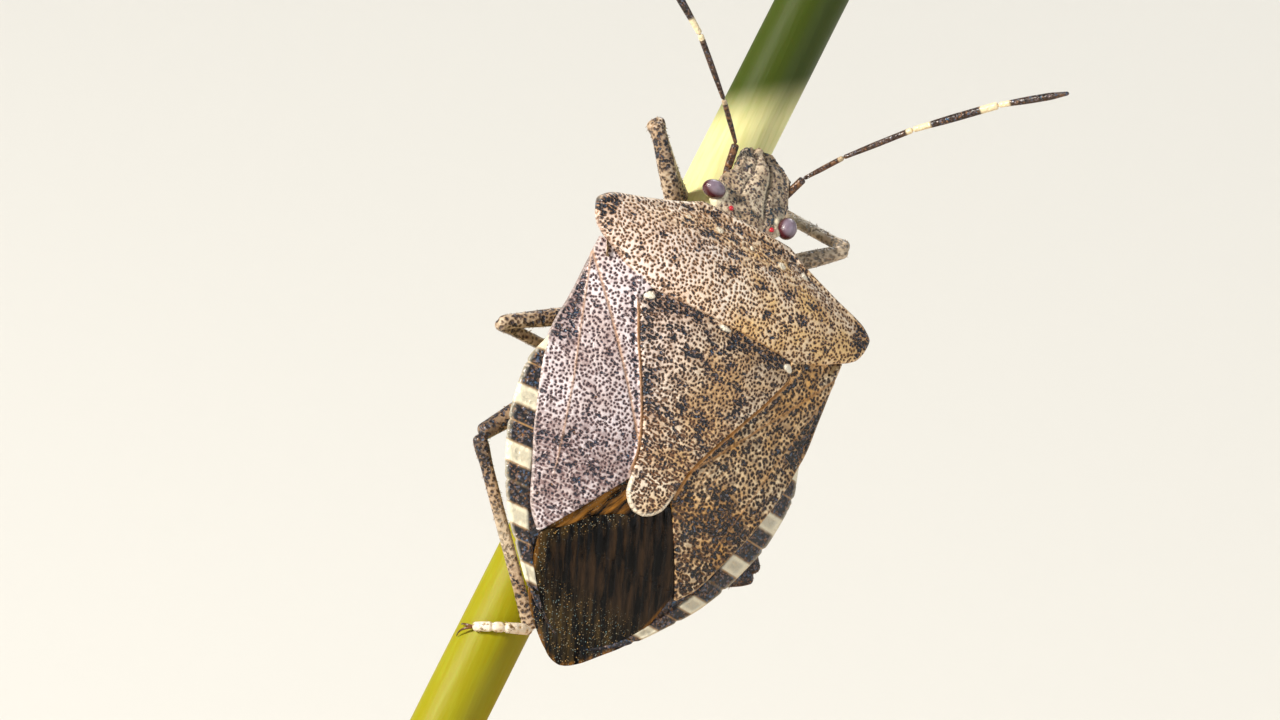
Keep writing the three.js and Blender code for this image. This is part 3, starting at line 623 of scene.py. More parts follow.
def corium_paint(x, y, edge):
    claval, radial = vein_lines(x, y)
    rear = smooth(-y, 4.8, 6.6)
    smudges = blobs(np.abs(x), y, [(2.75, -6.16, 0.5, 0.25, 0.12), (1.7, -6.5, 0.4, 0.2, 0.1),
                                   (2.0, -5.5, 0.4, 0.4, 0.08)])
    shaded_side = smooth(x, -0.5, 1.0)
    beyond = np.abs(x) - (3.79 + (y + 1.42) * 0.24)
    costal = smooth(beyond, 0.0, 0.1) * smooth(y, -4.4, -3.0)
    beside = np.abs(x) - scutellum_half(y)
    shadow = mound(beside, 0.19, 0.05) * smooth(y, -6.3, -5.9)
    shade = 0.04 * rear + smudges + 0.05 * shaded_side + 0.2 * costal + 0.14 * shadow - 0.04
    stripe = (1 - smooth(beside, 0.08, 0.11)) * smooth(y, -6.3, -5.9) * smooth(-y, 1.75, 2.1)
    costa = (1 - smooth(edge, 0.02, 0.06)) * smooth(np.abs(x) - costa_half(y), -0.2, -0.1)
    golden = sum(mound(beside, 0.34 + 0.2 * k + 0.05 * np.sin(3 * y + 2 * k), 0.022) for k in range(3))
    golden = golden * smooth(x, 0.2, 0.6) * (0.5 + 0.5 * np.sin(2.3 * y + x)) * smooth(y, -6.0, -5.2)
    vein = 0.8 * claval + 0.7 * radial + 0.95 * stripe + 0.7 * golden
    folds = 0.75 * rear + 0.3 * shaded_side
    return {"shade": shade, "pale": 0.3 * costa, "folds": folds, "vein": np.clip(vein, 0, 1)}


# The right wing takes the shaded copy of the leather, so its darker brown is painted shade.
for side, title in ((-1, "left"), (1, "right")):
    if side < 0:
        edges = (lambda y: -costa_half(y), lambda y: -corium_inner(y))
        leather, pits = forewing_leather, flat_pits
    else:
        edges = (corium_inner, costa_half)
        leather, pits = forewing_shaded_copy, shaded_copy_pits
    corium = plate("corium_" + title + "_leather", *edges, -0.75, -8.42, corium_height, 0.2, 0.05,
                   corium_paint)
    run_growth(corium, pits, {"Depth": PIT_DEPTH * 0.8, "Finish": leather})
    dress(corium, leather, "forewing", "corium_" + title)

# %% [markdown]
# The rear third of each forewing is the membrane, a smoky film stiffened by lengthwise veins.
# On the real wing it is thin enough to let the back of the body glimmer through, so it is
# painted dark, with black lanes between its veins and bronze specks towards its tip.
# The right wing lies over the left, and only a wedge of the left one shows.

# %% Smoky membranes
VEIN_SPACING = 0.29
VEIN_LEAN = 0.48
SPECK_WIDTH = 0.042
membrane_left = curve([(-11.25, -0.04), (-11.22, -0.22), (-11.1, -0.5), (-10.7, -1.0), (-10.3, -1.37),
                       (-9.92, -1.62), (-9.2, -1.88), (-8.45, -2.06), (-8.03, -1.57), (-7.5, -1.05),
                       (-7.0, -0.16)])
membrane_right = curve([(-11.25, 0.03), (-11.21, 0.17), (-11.05, 0.42), (-10.63, 0.86), (-9.94, 1.5),
                        (-9.2, 1.82), (-8.45, 1.99)])


def smoky_membrane():
    material, tree = new_material("smoky_membrane")
    rest = field(tree, "rest", vector=True)
    lane = field(tree, "lane")
    shade = field(tree, "shade")

    along = add(tree, "SeparateXYZ", {"Vector": rest}, out="Y")
    slow = add(tree, "Math MULTIPLY", along, 0.55)
    quick = add(tree, "Math MULTIPLY", lane, 2.9)
    flow = add(tree, "CombineXYZ", {"X": quick, "Y": slow})
    streak = add(tree, "TexNoise", flow, 1.5, 5.0, 0.62)
    dark = add(tree, "MapRange", streak, 0.4, 0.57)
    film = add(tree, "Mix", shade, "#2E1F14", "#403319")
    film = add(tree, "Mix", field(tree, "pale"), film, "#A56E2A")
    colour = add(tree, "Mix", dark, film, "#030202")
    cells = add(tree, "TexVoronoi", rest, 1 / SPECK_WIDTH, out="Distance")
    tint = add(tree, "SeparateColor", {"Color": cells.node.outputs["Color"]}, out="Red")
    chance = add(tree, "SeparateColor", {"Color": cells.node.outputs["Color"]}, out="Green")
    speck = add(tree, "MapRange", cells, 0.45, 0.25)
    lucky = add(tree, "MapRange", chance, 0.66, 0.86)
    speck = add(tree, "Math MULTIPLY", speck, lucky)
    strewn = add(tree, "MapRange", shade, 0.2, 0.7)
    speck = add(tree, "Math MULTIPLY", speck, strewn)
    bronze = add(tree, "Mix", tint, "#B88C48", "#6D8E90")
    colour = add(tree, "Mix", speck, colour, bronze)
    close_material(tree, colour, 0.24, streak, 0.04, IOR=1.27)
    return material


def membrane_paint(side):
    def fields(x, y, edge):
        lane = side * x + VEIN_LEAN * (y + 7)
        wedge = smooth(-x, 0.1, 0.6) * smooth(y, -8.8, -7.6) if side < 0 else np.zeros_like(x)
        amber = (1 - smooth(edge, 0.04, 0.13)) * (1 - smooth(y, -9.0, -8.3))
        rear = 1 - smooth(y, -10.4, -8.9)
        margin = (1 - smooth(edge, 0.1, 0.55)) * (1 - smooth(x, -0.6, 0.2))
        return {"lane": lane, "shade": np.clip(0.12 + 0.75 * rear + 0.5 * margin, 0, 1),
                "pale": np.clip(0.8 * wedge + 0.6 * amber, 0, 1)}
    return fields


def membrane_height(side, drop):
    def height(x, y, edge):
        lane = side * x + VEIN_LEAN * (y + 7)
        vein = (0.5 + 0.5 * np.cos(lane / VEIN_SPACING * 2 * math.pi)) ** 4
        return roof(x, y) - drop + 0.035 * vein * smooth(edge, 0.05, 0.3)
    return height


def over_left(y):
    return np.where(y > -7.1, -scutellum_half(np.maximum(y, -6.95)) + 0.06, membrane_left(y))


def over_right(y):
    return np.where(y > -8.3, suture(y) + 0.12, membrane_right(y))


def under_left(y):
    return np.where(y > -8.3, -suture(y) - 0.12, membrane_left(y) + 0.12)


def under_right(y):
    return np.minimum(0.4, membrane_right(y) - 0.1)


smoky = smoky_membrane()
MEMBRANES = {"left": (-1, under_left, under_right, 0.15), "right": (1, over_left, over_right, 0.09)}
for title, (side, left, right, drop) in MEMBRANES.items():
    sheet = plate("membrane_" + title + "_film", left, right, -6.4, -11.25 if side > 0 else -10.9,
                  membrane_height(side, drop), 0.05, 0.025, membrane_paint(side))
    dress(sheet, smoky, "wing_membrane", "membrane_" + title)

# %% [markdown]
# The abdomen is a stack of rings, each a back plate and a belly plate. Its sides stick out past
# the wings as a flat rim, the connexivum, banded black and cream in every ring, with a tiny
# notch between rings. It is lofted from many narrow cross-sections, so bands and notches are crisp.

# %% Lofts through rings


def loft(name, rings, fields, place=None):
    rows, sides = rings.shape[:2]
    points = np.concatenate([rings.reshape(-1, 3), rings[0].mean(0)[None], rings[-1].mean(0)[None]])
    faces = strips(rows, sides, wrap=True)
    first, last = rows * sides, rows * sides + 1
    top = (rows - 1) * sides
    for k in range(sides):
        after = (k + 1) % sides
        faces.append([after, k, first])
        faces.append([top + k, top + after, last])
    padded = {title: np.append(values.ravel(), [values[0].mean(), values[-1].mean()])
              for title, values in fields.items()}
    return add_piece(name, points, faces, padded, place)


def even_fields(rings, **values):
    shape = rings.shape[:2]
    full = {"pale": 0.0, "shade": 0.0, "black": 0.0, "above": 1.0} | values
    return {title: np.broadcast_to(np.asarray(v, float), shape) if np.ndim(v) < 1
            else np.repeat(np.asarray(v)[:, None], shape[1], 1) for title, v in full.items()}


def shell_points(y, x_over, z_over, x_under, z_under):
    x = np.concatenate([x_over, x_under], 1)
    return x, np.repeat(y[:, None], x.shape[1], 1), np.concatenate([z_over, z_under], 1)


RING_SEAMS = (-4.58, -6.12, -7.56, -8.85, -9.85)
PALE_BANDS = ((-3.91, 0.18), (-5.43, 0.21), (-6.88, 0.21), (-8.3, 0.19), (-9.5, 0.16))


def belly(x, y, half):
    out = np.clip(np.abs(x) / half, 0, 1)
    rim = MARGIN_Z - 0.16
    return rim + (belly_middle(y) - rim) * (1 - out**2.3)


def abdomen_piece():
    y = -2.3 + (-10.6 + 2.3) * eased(250)
    seams = sum(mound(y, at, 0.05) for at in RING_SEAMS)
    outer = body_half(y) - 0.05 * seams
    over = np.concatenate([np.linspace(-1, -0.8, 14), np.linspace(-0.75, 0.75, 16), np.linspace(0.8, 1, 14)])
    under = np.concatenate([np.linspace(0.985, 0.8, 12), np.linspace(0.76, -0.76, 48),
                            np.linspace(-0.8, -0.985, 12)])
    x_over, x_under = outer[:, None] * over, outer[:, None] * under
    wide = y[:, None]
    tucked = 0.07 + 0.12 * (1 - smooth(np.abs(over), 0.78, 0.84))
    lip = 0.03 * mound(np.abs(over), 0.97, 0.02)
    z_over = roof(x_over, wide) - tucked + lip - 0.025 * seams[:, None]
    ridges = 0.05 * mound(x_under, 0, 0.6) - 0.03 * seams[:, None] * (1 - mound(x_under, 0, 0.3))
    z_under = belly(x_under, wide, outer[:, None]) - ridges
    x, wide, z = shell_points(y, x_over, z_over, x_under, z_under)
    out = np.abs(x) / outer[:, None]
    rim = smooth(out, 0.8, 0.84)
    band = sum(1 - smooth(np.abs(wide - at), half, half + 0.04) for at, half in PALE_BANDS)
    middle = sum(1 - smooth(np.abs(wide - at), half - 0.11, half - 0.03) for at, half in PALE_BANDS)
    middle = middle * smooth(out, 0.83, 0.86) * (1 - smooth(out, 0.94, 0.97))
    seam = sum(mound(wide, at, 0.016) for at in RING_SEAMS)
    hem = smooth(out, 0.98, 0.992) * smooth(wide, -9.8, -9.4)
    fringe = sum(mound(np.abs(wide - at), half + 0.035, 0.025) for at, half in PALE_BANDS)
    amber = np.clip(0.9 * seam + 0.8 * fringe, 0, 1) * rim
    bands = np.clip(band - 0.3 * middle, 0, 1) + 0.5 * hem
    upper = np.zeros_like(x)
    upper[:, :x_over.shape[1]] = 1
    fields = {
        "black": np.maximum(rim, upper) * (1 - 0.85 * amber),
        "vein": amber,
        "pale": np.clip(bands, 0, 1) * rim,
        "shade": -0.12 + 0.1 * smooth(out, 0.5, 0.8) * (1 - rim),
        "above": np.ones_like(x),
    }
    return loft("abdomen_rings", np.stack([x, wide, z], -1), fields)


BELLY_PITS = {"dimensions": "3D", "spacing": 0.16, "reach": 0.34, "crowded": 0.46}
belly_cuticle = pitted_cuticle("belly_cuticle", "#DCC9A0", "#CBB183", "#A37C50", "#3A2A26", "#17161B",
                               "#E8DFC4", line="#C58A48", **BELLY_PITS)
belly_pits = pit_tree("pits_of_the_belly", **BELLY_PITS)
abdomen = abdomen_piece()
run_growth(abdomen, belly_pits, {"Depth": 0.015 * MM, "Finish": belly_cuticle})
dress(abdomen, belly_cuticle, "abdomen_rim", "abdomen")

# %% [markdown]
# Under the collar the chest is a box of side plates and belly plates that carries the legs. From
# below one sees their seams, a groove for the beak, and the dents that the hips sit in. One loft
# makes the box, and grooves pressed into it along the real seams part it into plates.

# %% Chest
HIPS = {
    "front_left": (-0.85, 0.45), "front_right": (0.85, 0.45), "middle_left": (-0.95, -1.35),
    "middle_right": (0.95, -1.35), "hind_left": (-1.15, -2.45), "hind_right": (1.15, -2.45),
}


def chest_piece():
    y = 1.38 + (-2.75 - 1.38) * eased(130)
    half = np.minimum(pronotum_half(np.maximum(y, -0.5)) - 0.14, 3.72 - 0.4 * smooth(-y, 0.4, 2.2))
    over = np.linspace(-0.97, 0.97, 20)
    under = np.linspace(1, -1, 110)
    x_over, x_under = half[:, None] * over, half[:, None] * under
    wide = y[:, None]
    roofed = np.where(wide > -1.7, pronotum_top(x_over, wide), 9.0)
    z_over = np.minimum(roofed, roof(x_over, np.minimum(wide, 1.5))) - 0.2
    out = np.clip(np.abs(x_under) / half[:, None], 0, 1)
    brim = np.where(wide > -1.2, pronotum_rim(wide) - 0.16, -0.12)
    z_under = brim + (belly_middle(wide) + 0.1 - brim) * (1 - out**2.2)
    across = np.abs(x_under)
    grooves = sum(mound(wide + 0.12 * across, at, 0.05) for at in (-0.55, -2.05)) * smooth(across, 0.7, 1.1)
    channel = mound(x_under, 0, 0.28)
    dents = sum(mound(np.hypot(x_under - hx, wide - hy), 0, 0.42) for hx, hy in HIPS.values())
    z_under = z_under + 0.06 * grooves + 0.18 * channel + 0.15 * dents
    points = np.stack(shell_points(y, x_over, z_over, x_under, z_under), -1)
    return loft("chest_plates", points, even_fields(points, shade=-0.1))


chest = chest_piece()
run_growth(chest, belly_pits, {"Depth": 0.015 * MM, "Finish": belly_cuticle})
dress(chest, belly_cuticle, "cuticle_pale", "thorax_front", "thorax_rear")

# %% [markdown]
# The head is a flat wedge, bent down from the collar. Two grooves part its nose, the tylus, from
# the cheeks, which end a little short of it and leave a notch on each side. It is lofted from
# cross-sections in a frame of its own, and ridges, grooves and the bulges that carry the eyes
# are added to its surface as smooth mounds.

# %% Head
HEAD_BACK = -0.62
HEAD_FRONT = 1.9
EYE_LEVEL = -0.03
OCELLUS_AT = (0.64, -0.29)
head_half = curve([(-0.62, 0.86), (-0.3, 0.9), (0, 0.94), (0.3, 1.0), (0.59, 1.03), (0.79, 0.95),
                   (0.98, 0.84),
                   (1.38, 0.8), (1.59, 0.71), (1.75, 0.55), (1.85, 0.38), (1.9, 0.26)])
head_under = curve([(-0.62, -0.75), (-0.15, -0.9), (0.1, -1.0), (0.9, -0.95), (1.4, -0.62), (1.9, -0.3)])
head_lean = curve([(0.4, 0), (0.59, 0.03), (0.79, 0.06), (0.98, 0.12), (1.38, 0.12), (1.57, 0.07), (1.77, 0)])


def nose_right(y):
    return 0.44 - 0.24 * y


def nose_left(y):
    return -0.4 + 0.06 * y


def head_piece():
    y = HEAD_BACK + (HEAD_FRONT - HEAD_BACK) * eased(120)
    half = head_half(y) + 0.2 * mound(y, -0.12, 0.2)
    over = np.linspace(-1, 1, 110)
    turned = np.linspace(0.985, -0.985, 60)
    x_over, x_under = half[:, None] * over, half[:, None] * turned
    wide = y[:, None]
    side = np.abs(x_over)
    grooves = mound(x_over - nose_right(wide), 0, 0.045) + 0.5 * mound(x_over - nose_left(wide), 0, 0.04)
    grooves = grooves * smooth(wide, -0.3, 0.2)
    middle = (nose_right(wide) + nose_left(wide)) / 2
    reach = (nose_right(wide) - nose_left(wide)) / 2
    nose_swell = 0.07 * np.clip(1 - ((x_over - middle) / reach) ** 2, 0, 1) * smooth(wide, 0.0, 0.8)
    cheek_rim = 0.05 * mound(np.abs(over), 0.88, 0.07) * smooth(wide, 0.6, 1.1)
    brow = 0.07 * mound(side, 0.84, 0.12) * mound(wide, 0.0, 0.3)
    seats = 0.04 * mound(np.hypot(side - 0.64, wide + 0.29), 0, 0.12)
    callus = 0.08 * mound(np.hypot(side - 0.98, wide + 0.25), 0, 0.12)
    rough = 0.02 * np.sin(9 * x_over + 3 * np.sin(5 * wide)) * np.sin(8 * wide)
    z_over = (-0.13 * over**2 * half[:, None] - 0.08 * grooves + nose_swell + cheek_rim + brow + seats + callus
              + rough - 0.2 * smooth(wide, 1.25, 1.82) - 0.06 * smooth(-wide, 0.1, 0.6))
    curl = np.abs(turned) ** 2.6
    base = head_under(y)[:, None]
    feeler_stub = 0.2 * mound(np.hypot(np.abs(x_under) - 0.78, wide - 0.64), 0, 0.2)
    flaps = 0.16 * mound(np.abs(x_under), 0.22, 0.09) * smooth(wide, 0.1, 0.6) * (1 - smooth(wide, 1.2, 1.6))
    z_under = base + (-0.3 - base) * curl - feeler_stub * (1 - curl) - flaps
    x, wide, z = shell_points(y, x_over, z_over, x_under, z_under)
    notch = 0.12 * mound(x, nose_right(1.7) - 0.03, 0.06) + 0.05 * mound(x, nose_left(1.7), 0.06)
    notch = notch * smooth(wide, 1.4, 1.82)
    to_eye = np.hypot(np.abs(x) - EYE_SPREAD, wide, z + 0.02)
    inner = np.hypot((np.abs(x) - 0.82) * 1.2, wide - 0.02)
    orbit = 0.7 * mound(to_eye, 0.36, 0.05) + 0.6 * smooth(mound(inner, 0, 0.14), 0.3, 0.7)
    callus = smooth(mound(np.hypot(np.abs(x) - 1.02, (wide + 0.24) * 1.2), 0, 0.15), 0.3, 0.6)
    # ridge is a painted highlight: a pale stripe on the lit left flank of the raised middle, beside the right
    # groove.
    ridge = mound(x, nose_right(wide) - 0.09, 0.03) * smooth(wide, -0.2, 0.1) * (1 - smooth(wide, 0.9, 1.2))
    # line darkens the two grooves, the right one far more: the grooves' own dark colour plus painted shade on
    # the shaded side of the raised middle.
    line = mound(x, nose_right(wide), 0.035) * smooth(wide, -0.3, 0.1)
    line = (line + 0.4 * mound(x, nose_left(wide), 0.03) * smooth(wide, 0.0, 0.4)) * (z > -0.4)
    # The shade patch right of the right groove is painted shadow in the dip beside the raised middle.
    fields = {
        "shade": 0.02 + 0.12 * mound(x, 0.62, 0.14) * mound(wide, 0.2, 0.4) + 0.06 * mound(wide, 1.75, 0.12),
        "pale": np.clip(orbit + callus + 0.6 * ridge * (z > -0.4), 0, 1),
        "black": 0.6 * np.clip(line, 0, 1),
        "above": np.ones_like(x),
    }
    return loft("head_capsule", np.stack([x + head_lean(wide), wide - notch, z], -1), fields, head_to_body)


HEAD_PITS = {"dimensions": "3D", "spacing": 0.088, "reach": 0.33, "crowded": 0.48}
head_cuticle = pitted_cuticle("head_cuticle", "#E6D8C0", "#CBB291", "#8A735C", "#54464A", "#2B3A42",
                              "#F4E8C8", mottle=0.45, **HEAD_PITS)
head_pits = pit_tree("pits_of_the_head", **HEAD_PITS)
head = head_piece()
run_growth(head, head_pits, {"Depth": 0.016 * MM, "Finish": head_cuticle})
dress(head, head_cuticle, "cuticle_brown", "head")

# %% [markdown]
# A compound eye is a dome of hundreds of tiny lenses, each about a fortieth of a millimetre wide.
# Modelled singly they would be finer than a pixel here, so the dome is a smooth mesh and cell
# noise lifts the lenses as bump. The eye is grey plum on top with a maroon rim. Behind each eye
# a simple eye, the ocellus, sits on the head like a bead of red glass.

# %% Eyes
LENS_WIDTH = 0.028
EYE_SHAPES = {"left": (-1.17, 0.0, (0.32, 0.245, 0.28)), "right": (1.14, -0.02, (0.26, 0.3, 0.28))}


def dome(name, centre, radii, place, rings=40, sides=56):
    polar = np.linspace(0.02, math.pi - 0.02, rings)[:, None]
    round_ = np.linspace(0, 2 * math.pi, sides, endpoint=False)
    unit = np.stack([np.sin(polar) * np.cos(round_), np.sin(polar) * np.sin(round_),
                     np.cos(polar) * np.ones_like(round_)], -1)
    return loft(name, np.array(centre) + unit * np.array(radii), {"lift": unit[..., 2]}, place)


def eye_lenses():
    material, tree = new_material("eye_lenses")
    rest = field(tree, "rest", vector=True)
    cells = add(tree, "TexVoronoi", rest, 1 / LENS_WIDTH, {"Randomness": 0.25}, out="Distance")
    lens = add(tree, "Math SUBTRACT", 1.0, cells)
    upper = add(tree, "MapRange SMOOTHSTEP", field(tree, "lift"), 0.3, 0.85)
    cloud = add(tree, "TexNoise", rest, 7.0)
    plum = add(tree, "Mix", cloud, "#6E5C6C", "#9A8C9C")
    colour = add(tree, "Mix", upper, "#4A1620", plum)
    close_material(tree, colour, 0.22, lens, 0.006, IOR=1.5, Coat_Weight=0.4)
    return material


def red_bead():
    material, tree = new_material("red_ocellus")
    colour = add(tree, "TexNoise", field(tree, "rest", vector=True), 12.0)
    colour = add(tree, "Mix", colour, "#B3121C", "#E2374A")
    close_material(tree, colour, 0.12, IOR=1.5, Coat_Weight=0.6)
    return material


lenses = eye_lenses()
ruby = red_bead()
for title, (eye_x, eye_y, radii) in EYE_SHAPES.items():
    eye = dome("eye_" + title + "_dome", (eye_x, eye_y, EYE_LEVEL), radii, head_to_body)
    dress(eye, lenses, "eye", "eye_" + title)
    bead_at = (0.08 + math.copysign(OCELLUS_AT[0], eye_x), OCELLUS_AT[1], 0.0)
    bead = dome("ocellus_" + title, bead_at, (0.07, 0.07, 0.06), head_to_body, 16, 20)
    dress(bead, ruby, "eye")

# %% [markdown]
# Feelers, legs, beak and claws are all tubes of cuticle, thicker and thinner along their length.
# Blender could bevel a curve, but a tube built ring by ring lets each joint have its own
# swelling, groove and flat side. Each tube closes in a round end, so that two of them meet as
# joints do.

# %% Tubes along a path


def sweep(path, radius, sides=20, shape=None, lean=(1.0, 0.2, 0.1)):
    path = np.asarray(path, float)
    ahead = np.gradient(path, axis=0)
    ahead /= np.linalg.norm(ahead, axis=1)[:, None]
    angle = np.linspace(0, 2 * math.pi, sides, endpoint=False)
    swell = np.ones(sides) if shape is None else shape(angle)
    side = np.array(lean, float)
    rings = []
    for point, along, size in zip(path, ahead, radius):
        side = side - along * (side @ along)
        side /= np.linalg.norm(side)
        above = np.cross(along, side)
        turned = np.outer(np.cos(angle), side) + np.outer(np.sin(angle), above)
        rings.append(point + size * swell[:, None] * turned)
    return np.array(rings)


def round_ends(t, length, cap):
    near = np.minimum(t, 1 - t) * length
    return np.sqrt(np.clip(1 - (1 - np.clip(near / cap, 0, 1)) ** 2, 0.0025, 1))


def between(start, end, t, bow=0.0, towards=(0, 0, 1)):
    start, end = np.array(start, float), np.array(end, float)
    arch = bow * 4 * t * (1 - t)
    return start + (end - start) * t[:, None] + arch[:, None] * np.array(towards, float)


# %% [markdown]
# A shield bug's feeler has five joints. The first is short and thick, the second and third are thin,
# and the last two are a little thicker, black, with pale rings at their ends. Colour rides on each
# ring of points, as a number from dark to pale, so the bands sit exactly on the joints.

# %% Feelers
FEELERS = {
    "left": [(-0.72, 2.46, -1.7), (-0.96, 3.43, -1.34), (-1.96, 4.2, -0.81), (-3.45, 5.33, -0.36),
             (-5.4, 6.48, -0.17), (-7.15, 7.43, -0.17)],
    "right": [(0.86, 2.46, -1.7), (1.1, 3.42, -1.13), (1.51, 4.19, -0.12), (2.47, 5.41, 1.23),
              (3.85, 6.74, 2.64), (5.0, 7.58, 3.98)],
}
FEELER_JOINTS = {
    "scape": {"radius": 0.105, "black": 0.3, "pale": ((0.0, 0.12),)},
    "pedicel_1": {"radius": 0.07, "black": 0.4, "pale": ((0.9, 1.0),), "bright": 0.45},
    "pedicel_2": {"radius": 0.08, "black": 0.8, "pale": ((0.92, 1.0),)},
    "flagellum_1": {"radius": 0.105, "black": 0.95, "pale": ((0.0, 0.2), (0.8, 1.0))},
    "flagellum_2": {"radius": 0.1, "black": 0.85, "pale": ((0.0, 0.16),)},
}
FEELER_SIDES = 18
feeler_cuticle = pitted_cuticle("feeler_cuticle", "#A97A4C", "#8A5C35", "#6B442A", "#2B1B16", "#17110F",
                                "#F1DDB4", dimensions="3D", gloss=0.36, reach=0.42, crowded=0.5,
                                spacing=0.11)


def feeler_joint(side, index, title, look):
    start, end = FEELERS[side][index], FEELERS[side][index + 1]
    length = float(np.linalg.norm(np.subtract(end, start)))
    t = eased(int(length / 0.03) + 12)
    last = title == "flagellum_2"
    taper = 0.75 + 0.25 * smooth(t, 0, 0.5) - (0.45 * smooth(t, 0.7, 1.0) if last else 0)
    radius = look["radius"] * taper * round_ends(t, length, 0.07)
    rings = sweep(between(start, end, t), radius, FEELER_SIDES)
    pale = sum(smooth(t, low - 0.02, low + 0.01) * (1 - smooth(t, high - 0.01, high + 0.03))
               for low, high in look["pale"])
    pale = look.get("bright", 1.0) * np.clip(pale, 0, 1)
    return loft("feeler_" + side + "_" + title, rings, even_fields(rings, pale=pale, black=look["black"]))


for side in FEELERS:
    for index, (title, look) in enumerate(FEELER_JOINTS.items()):
        joint = feeler_joint(side, index, title, look)
        dress(joint, feeler_cuticle, "feeler", "antenna_" + side + "_" + title)

# %% [markdown]
# The beak is a four-jointed straw, folded back under the chest between the hips when the insect
# isn't feeding. From above it is hidden, and from below it is a pale rod with a dark tip.

# %% Beak
BEAK_Z = -2.5
t = eased(150)
beak_knots = sum(mound(t, at, 0.012) for at in (0.2, 0.47, 0.75))
beak_radius = (0.2 - 0.1 * t) * (1 - 0.25 * beak_knots) * round_ends(t, 5.3, 0.12)
beak_path = np.stack([0 * t, 2.5 - 5.5 * t, BEAK_Z + 0.85 * (1 - smooth(t, 0.0, 0.14))], 1)
beak_rings = sweep(beak_path, beak_radius, 20)
beak = loft("beak", beak_rings, even_fields(beak_rings, shade=-0.2, black=smooth(t, 0.88, 0.96)))
dress(beak, belly_cuticle, "cuticle_pale", "rostrum")

# %% [markdown]
# The insect holds a plant stem, which runs straight under its body. A stem is a smooth
# waxy tube with faint streaks, so a growth tree can make it whole: a line is resampled, given a
# slightly uneven radius, swept with a circle and closed. Its foot is then cut level, where it
# stands on the steel rod.

# %% Stem
STEM_RADIUS = 0.9
STEM_X = -0.122
STEM_DRIFT = 0.052
STEM_Z = -4.05
STEM_TOP_Y = 10.6
STEM_CUT_HEIGHT = 7.2
CUT_SPARE = 1.5


def stem_point(y, angle=0.0, out=0.0):
    y, angle = np.broadcast_arrays(np.asarray(y, float), np.radians(angle))
    return np.stack([STEM_X + STEM_DRIFT * y + out * np.cos(angle), y, STEM_Z + out * np.sin(angle)], -1)


def stem_tree():
    tree, given = start_tree("stem_growth", Sheet="Geometry", Foot="Vector", Top="Vector", Thickness="Float",
                             Finish="Material")
    line = add(tree, "GeometryNodeCurvePrimitiveLine",
               {"Start": given["Foot"], "End": given["Top"]}, mode="POINTS")
    line = add(tree, "GeometryNodeResampleCurve", {"Curve": line, "Count": 170})
    place = add(tree, "GeometryNodeInputPosition")
    uneven = add(tree, "TexNoise", place, 160.0, 2.0)
    uneven = add(tree, "MapRange", uneven, 0.0, 1.0, 0.97, 1.03)
    size = add(tree, "Math MULTIPLY", uneven, given["Thickness"])
    line = add(tree, "GeometryNodeSetCurveRadius", {"Curve": line, "Radius": size})
    circle = add(tree, "GeometryNodeCurvePrimitiveCircle", {"Resolution": 110, "Radius": 1.0})
    skin = add(tree, "GeometryNodeCurveToMesh",
               {"Curve": line, "Profile Curve": circle, "Scale": size, "Fill Caps": True})
    return end_tree(tree, skin, given["Finish"])


def waxy_stem():
    material, tree = new_material("waxy_green_stem")
    rest = field(tree, "rest", vector=True)
    along = add(tree, "SeparateXYZ", {"Vector": rest}, out="Y")
    # Olive yellow below turns to cream near the insect's head: partly the stem's own colour, partly painted
    # highlight where the light falls brightest.
    cream_upwards = add(tree, "MapRange", along, -2.0, 2.5)
    # Past the slanting line the stem turns dark green as painted shadow over its upper end.
    slant = add(tree, "VectorMath DOT_PRODUCT", rest, (-0.7, 1.0, 0.0), out="Value")
    bare = add(tree, "MapRange SMOOTHSTEP", slant, 4.4, 6.0)
    colour = add(tree, "Mix", cream_upwards, "#979002", "#E2DEA0")
    streaks = add(tree, "VectorMath MULTIPLY", rest, (6.0, 0.5, 6.0))
    streaks = add(tree, "TexNoise", streaks, 1.6, 4.0)
    faint = add(tree, "MapRange", streaks, 0.45, 0.75, 0.0, 0.3)
    colour = add(tree, "Mix", faint, colour, "#A3AC34")
    colour = add(tree, "Mix", bare, colour, "#3A4804")
    close_material(tree, colour, 0.5, streaks, 0.01, IOR=1.33, Subsurface_Weight=0.15,
                   Subsurface_Scale=0.0004)
    return material


along_stem = np.array([STEM_DRIFT, 1.0, 0.0])
body_up = POSE.T @ np.array([0.0, 0.0, 1.0])
to_cut = (STEM_CUT_HEIGHT - BODY_AT[2] - stem_point(0.0) @ body_up) / (along_stem @ body_up)
stem_foot = stem_point(0.0) + along_stem * to_cut
stem = bpy.data.objects.new("stem_length", bpy.data.meshes.new("stem_length"))
bpy.context.scene.collection.objects.link(stem)
waxy = waxy_stem()
run_growth(stem, stem_tree(), {
    "Foot": to_world(stem_foot - along_stem * CUT_SPARE), "Top": to_world(stem_point(STEM_TOP_Y)),
    "Thickness": STEM_RADIUS * MM, "Finish": waxy})
shell = bmesh.new()
shell.from_mesh(stem.data)
bmesh.ops.remove_doubles(shell, verts=shell.verts, dist=WELD)
cut = bmesh.ops.bisect_plane(shell, geom=shell.verts[:] + shell.edges[:] + shell.faces[:],
                             plane_co=(0, 0, STEM_CUT_HEIGHT * MM), plane_no=(0, 0, -1), clear_outer=True)
bmesh.ops.holes_fill(shell, edges=[e for e in cut["geom_cut"] if isinstance(e, bmesh.types.BMEdge)])
bmesh.ops.recalc_face_normals(shell, faces=shell.faces)
shell.to_mesh(stem.data)
shell.free()
places = np.array([v.co[:] for v in stem.data.vertices])
store(stem.data, "rest", (places / MM - BODY_AT) @ POSE)
stem.data.shade_smooth()
dress(stem, waxy, "plant_stem", "perch_stem")

